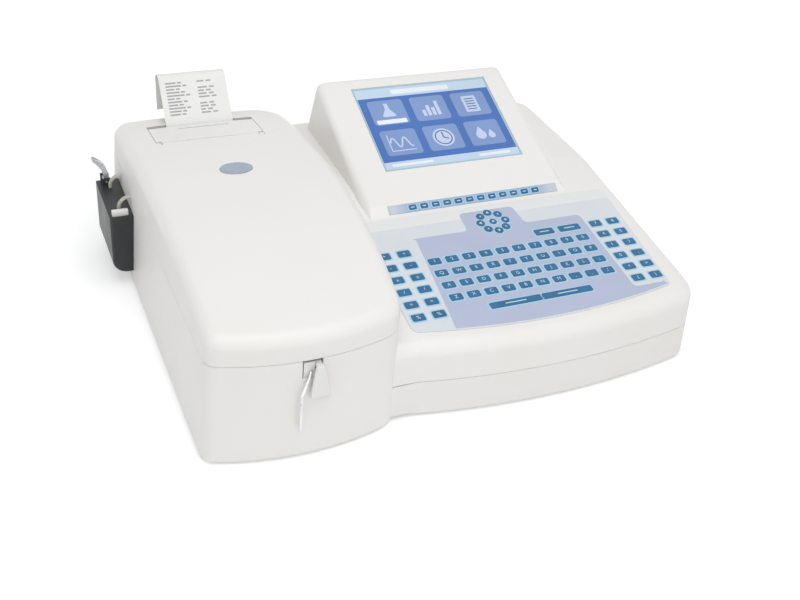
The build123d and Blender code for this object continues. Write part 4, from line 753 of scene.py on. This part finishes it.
screen_piece("screen_border", frame_bars, 1,
             lit_glass("border_light", (0.50, 0.70, 0.80), 0.5))

# ---------------------------------------------------------------- print on the paper slip
curl_radius = 7.3 * MM
bend_y, bend_z = 134.2 * MM, 107.93 * MM


def slip_line():
    """Tilt and length of the slip's straight front, from its last bend to its curl."""
    curl_y, curl_z = slip_box[1].y - curl_radius, slip_box[1].z - curl_radius
    away_y, away_z = bend_y - curl_y, bend_z - curl_z
    distance = sqrt(away_y**2 + away_z**2)
    heading = atan2(away_z, away_y) - acos(curl_radius / distance)
    run = curl_y + curl_radius * cos(heading) - bend_y
    rise = curl_z + curl_radius * sin(heading) - bend_z
    return atan2(rise, run), sqrt(run**2 + rise**2)


slip_tilt, slip_length = slip_line()


def slip_rows():
    """Rows of short bars in two columns, as a plain printed list."""
    rows = []
    step, ink_height, lowest = 2.7 * MM, 1.3 * MM, 8 * MM
    left, middle = slip_box[0].x + 5 * MM, slip_box[0].x + 32 * MM
    lengths = ((9, 6), (13, 0), (7, 8), (11, 5), (15, 7), (6, 9), (12, 0), (8, 6), (14, 7),
               (10, 4), (9, 8), (13, 6), (7, 5), (11, 9))
    v = slip_length - 3 * MM
    for first, second in lengths:
        if v < lowest:
            break
        columns = [(left, first, 3, 3.4)] + ([(middle, second, 4, 4.2)] if second else [])
        for start, length, gap, unit in columns:
            rows.append(round_rect(start + length * MM / 2, v, length * MM, ink_height))
            rows.append(round_rect(start + (length + gap) * MM, v, unit * MM, ink_height))
        v -= step
    return rows


plates("slip_print", slope(bend_y, bend_z, slip_tilt), slip_rows(), -0.05 * MM, 0.07 * MM,
       slip_ink, "lid")


# ---------------------------------------------------------------- closing pieces in the gaps
def door_pin_caps():
    """Pale sleeves round the ends of the printer door's pins; the door turns round them."""
    pins_box, door_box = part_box("printer_door_pins"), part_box("printer_door")
    axis_y = (pins_box[0].y + pins_box[1].y) / 2
    axis_z = (pins_box[0].z + pins_box[1].z) / 2
    sleeve, bevel, inset, play = 2.6 * MM, 0.3 * MM, 1.9 * MM, 0.3 * MM
    shape = bmesh.new()
    for inner, outer in ((pins_box[0].x + inset, door_box[0].x - play),
                         (pins_box[1].x - inset, door_box[1].x + play)):
        start, length = min(inner, outer), abs(outer - inner)
        place = Matrix.Translation((start, axis_y, axis_z)) @ Matrix.Rotation(pi / 2, 4, "Y")
        lathe(shape, place, [(sleeve - bevel, 0), (sleeve, bevel), (sleeve, length - bevel),
                             (sleeve - bevel, length)], 32)
    add_piece("door_pin_caps", shape, looks["case_ivory"], "lid")


def surface(name):
    """A CAD node's surface, to find where a straight line meets it."""
    data = nodes[name].data
    return BVHTree.FromPolygons([v.co for v in data.vertices],
                                [tuple(p.vertices) for p in data.polygons])


def cheek(name, node, slot, low_z, high_z, steps):
    """Fills the corner between the console's front and the optics module's rounded wall."""
    wall_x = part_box("module_housing")[1].x
    front_x, inside_x, ahead_y = wall_x + 4 * MM, wall_x + 30 * MM, -400 * MM
    recess, thickness, tuck = 0.25 * MM, 2.0 * MM, 0.3 * MM
    module, case = surface("module_housing"), surface(node)
    shape = bmesh.new()
    levels = []
    for step in range(steps + 1):
        z = low_z + (high_z - low_z) * step / steps
        front = case.ray_cast(Vector((front_x, ahead_y, z)), Vector((0, 1, 0)))[0]
        if front is None:
            continue
        y = front.y + recess
        left = module.ray_cast(Vector((inside_x, y, z)), Vector((-1, 0, 0)))[0]
        right = case.ray_cast(Vector((left.x, y, z)), Vector((1, 0, 0)))[0] if left else None
        if right is None:
            continue
        west, east, back = left.x - tuck, right.x + tuck, y + thickness
        levels.append([shape.verts.new((*corner, z)) for corner in (
            (west, y), (east, y), (east, back), (west, back))])
    loft(shape, levels)
    add_piece(name, shape, looks[slot], "base")


door_pin_caps()
cheek("tray_cheek", "base_tray", "case_shadow", 4.5 * MM, 31.6 * MM, 8)
cheek("cover_cheek", "console_cover", "case_ivory", 32.4 * MM, 68.4 * MM, 80)

# ---------------------------------------------------------------- small hardware at the rear
hinge_half_length = 15 * MM
hinge_centres = (hinge_box[0].x + hinge_half_length, hinge_box[1].x - hinge_half_length)
hinge_seam_z = 83 * MM
leaf_out_y = hinge_box[0].y + 1.4 * MM
rear_turn = Matrix.Rotation(-pi / 2, 4, "X")


def rear_place(x, y, z):
    """A place on a rear face whose Z points out along +Y."""
    return Matrix.Translation((x, y, z)) @ rear_turn


leaf_screw_u, leaf_screw_v = 9 * MM, 9.5 * MM
for body, side in (("base", -1), ("lid", 1)):
    spots = [rear_place(x + offset, leaf_out_y, hinge_seam_z + side * leaf_screw_v)
             for x in hinge_centres for offset in (-leaf_screw_u, leaf_screw_u)]
    screw_heads(f"hinge_screws_{body}", spots, 2.3 * MM, 1.0 * MM, body)

panel_out_y = panel_box[1].y
panel_spots = [rear_place(x, panel_out_y, z)
               for x in (panel_box[0].x + 9 * MM, panel_box[1].x - 9 * MM)
               for z in (19 * MM, 52 * MM)]
screw_heads("panel_screws", panel_spots, 2.4 * MM, 1.1 * MM, "base")

rear = Face((0, panel_out_y, 0), (-1, 0, 0), (0, 0, 1), (0, 1, 0))
serial_xs = (right_x - 164 * MM, right_x - 126 * MM)
port_z = 36 * MM
socket_face_y = panel_out_y + 1.1 * MM


def hex_posts():
    """Two hexagonal posts with a threaded stub beside each serial port."""
    post = [(2.5 * MM, -0.2 * MM), (2.5 * MM, 3.6 * MM), (2.1 * MM, 4.0 * MM)]
    stub = [(1.3 * MM, 3.8 * MM), (1.3 * MM, 4.3 * MM)]
    shape = bmesh.new()
    for x in serial_xs:
        for side in (-1, 1):
            place = rear_place(x + side * 12.4 * MM, socket_face_y, port_z)
            lathe(shape, place, post, 6)
            lathe(shape, place, stub, 16)
    add_piece("serial_posts", shape, looks["steel"], "base")


def contact_pins():
    """Nine contacts in each serial port, in rows of five and four, on a dark insert."""
    pin = [(0.55 * MM, 0), (0.55 * MM, 4.2 * MM), (0.25 * MM, 4.7 * MM)]
    pitch, foot_y = 2.75 * MM, panel_out_y + 1.2 * MM
    inserts, pins = [], bmesh.new()
    for x in serial_xs:
        inserts.append(round_rect(-x, port_z, 15.8 * MM, 7.8 * MM, 1.2 * MM))
        for row, count in ((1.4 * MM, 5), (-1.4 * MM, 4)):
            for n in range(count):
                at_x = x + (n - (count - 1) / 2) * pitch
                lathe(pins, rear_place(at_x, foot_y, port_z + row), pin, 10)
    add_piece("serial_pins", pins, looks["stainless"], "base")
    plates("serial_inserts", rear, inserts, 0.95 * MM, 1.4 * MM, looks["black_plastic"], "base")


hex_posts()
contact_pins()


# ---------------------------------------------------------------- floor, light and camera
def stage_floor():
    """A plain pale floor; seen by the camera it is brighter, and white away from the object."""
    half = 6.0
    near, far = 0.38, 0.85
    near_lift, far_lift = 0.34, 1.0
    mesh = bpy.data.meshes.new("floor")
    corners = [(-half, -half, floor_level), (half, -half, floor_level), (half, half, floor_level),
               (-half, half, floor_level)]
    mesh.from_pydata(corners, [], [(0, 1, 2, 3)])
    floor = bpy.data.objects.new("floor", mesh)
    bpy.context.scene.collection.objects.link(floor)
    s = Shader("floor_pale", (0.86, 0.86, 0.86), 0.9, Specular_IOR_Level=0.1)
    rays = s.add("ShaderNodeLightPath")
    seen = s.math("MAXIMUM", rays.outputs["Is Camera Ray"], rays.outputs["Is Glossy Ray"])
    seen = s.math("MAXIMUM", seen, rays.outputs["Is Transmission Ray"])
    s.main.inputs["Emission Color"].default_value = (1, 1, 1, 1)
    away = s.add("ShaderNodeVectorMath", {"operation": "LENGTH"}, _0=s.place).outputs["Value"]
    lift = s.span(away, near, far, near_lift, far_lift)
    s.feed(s.main.inputs["Emission Strength"], s.math("MULTIPLY", seen, lift))
    mesh.materials.append(s.finish(height=s.noise(4 * MM, 2), depth=0.01 * MM, strength=0.1))


def studio_world():
    """White where it is seen or mirrored, and a softer, slightly cool light elsewhere."""
    world = bpy.data.worlds.new("studio")
    bpy.context.scene.world = world
    world.use_nodes = True
    tree = world.node_tree
    tree.nodes.clear()
    rays = tree.nodes.new("ShaderNodeLightPath")
    seen = rays.outputs["Is Camera Ray"]
    for name in ("Is Glossy Ray", "Is Transmission Ray"):
        either = tree.nodes.new("ShaderNodeMath")
        either.operation = "MAXIMUM"
        tree.links.new(seen, either.inputs[0])
        tree.links.new(rays.outputs[name], either.inputs[1])
        seen = either.outputs[0]
    mix = tree.nodes.new("ShaderNodeMixShader")
    tree.links.new(seen, mix.inputs[0])
    for socket, color, strength in ((1, (0.98, 0.99, 1.0, 1), 0.56), (2, (1, 1, 1, 1), 1.0)):
        light = tree.nodes.new("ShaderNodeBackground")
        light.inputs["Color"].default_value = color
        light.inputs["Strength"].default_value = strength
        tree.links.new(light.outputs[0], mix.inputs[socket])
    out = tree.nodes.new("ShaderNodeOutputWorld")
    tree.links.new(mix.outputs[0], out.inputs[0])


def softbox(name, place, size, power):
    """A square area light that looks at the object."""
    target = Vector((0, 0, 0.05))
    lamp = bpy.data.lights.new(name, "AREA")
    lamp.size = size
    lamp.energy = power
    holder = bpy.data.objects.new(name, lamp)
    bpy.context.scene.collection.objects.link(holder)
    holder.location = place
    aim = target - Vector(place)
    holder.rotation_euler = aim.to_track_quat("-Z", "Y").to_euler()


def photo_camera():
    """The camera of the photograph: where it stands, how it is turned, and its lens."""
    place = Vector((right_x - 0.54099, -0.68643, 0.53975))
    azimuth, elevation, roll = radians(-26.627), radians(35.652), radians(6.272)
    forward = Vector((-sin(azimuth) * cos(elevation), cos(azimuth) * cos(elevation),
                      -sin(elevation)))
    level = Vector((cos(azimuth), sin(azimuth), 0))
    over = level.cross(forward)
    right = level * cos(roll) + over * sin(roll)
    up = right.cross(forward)
    turned = Matrix((right, up, -forward)).transposed().to_4x4()
    data = bpy.data.cameras.new("camera")
    data.lens = 48.6
    data.sensor_width = 36.0
    data.clip_start = 0.01
    camera = bpy.data.objects.new("camera", data)
    bpy.context.scene.collection.objects.link(camera)
    camera.matrix_world = Matrix.Translation(place) @ turned
    bpy.context.scene.camera = camera


stage_floor()
studio_world()
softbox("key_light", (-0.1, -0.45, 1.3), 1.1, 7.4)
softbox("front_light", (0.1, -1.5, 0.6), 1.0, 2.6)
softbox("left_light", (-1.5, -0.2, 0.6), 1.0, 1.2)
photo_camera()
bpy.context.scene.view_settings.view_transform = "Standard"
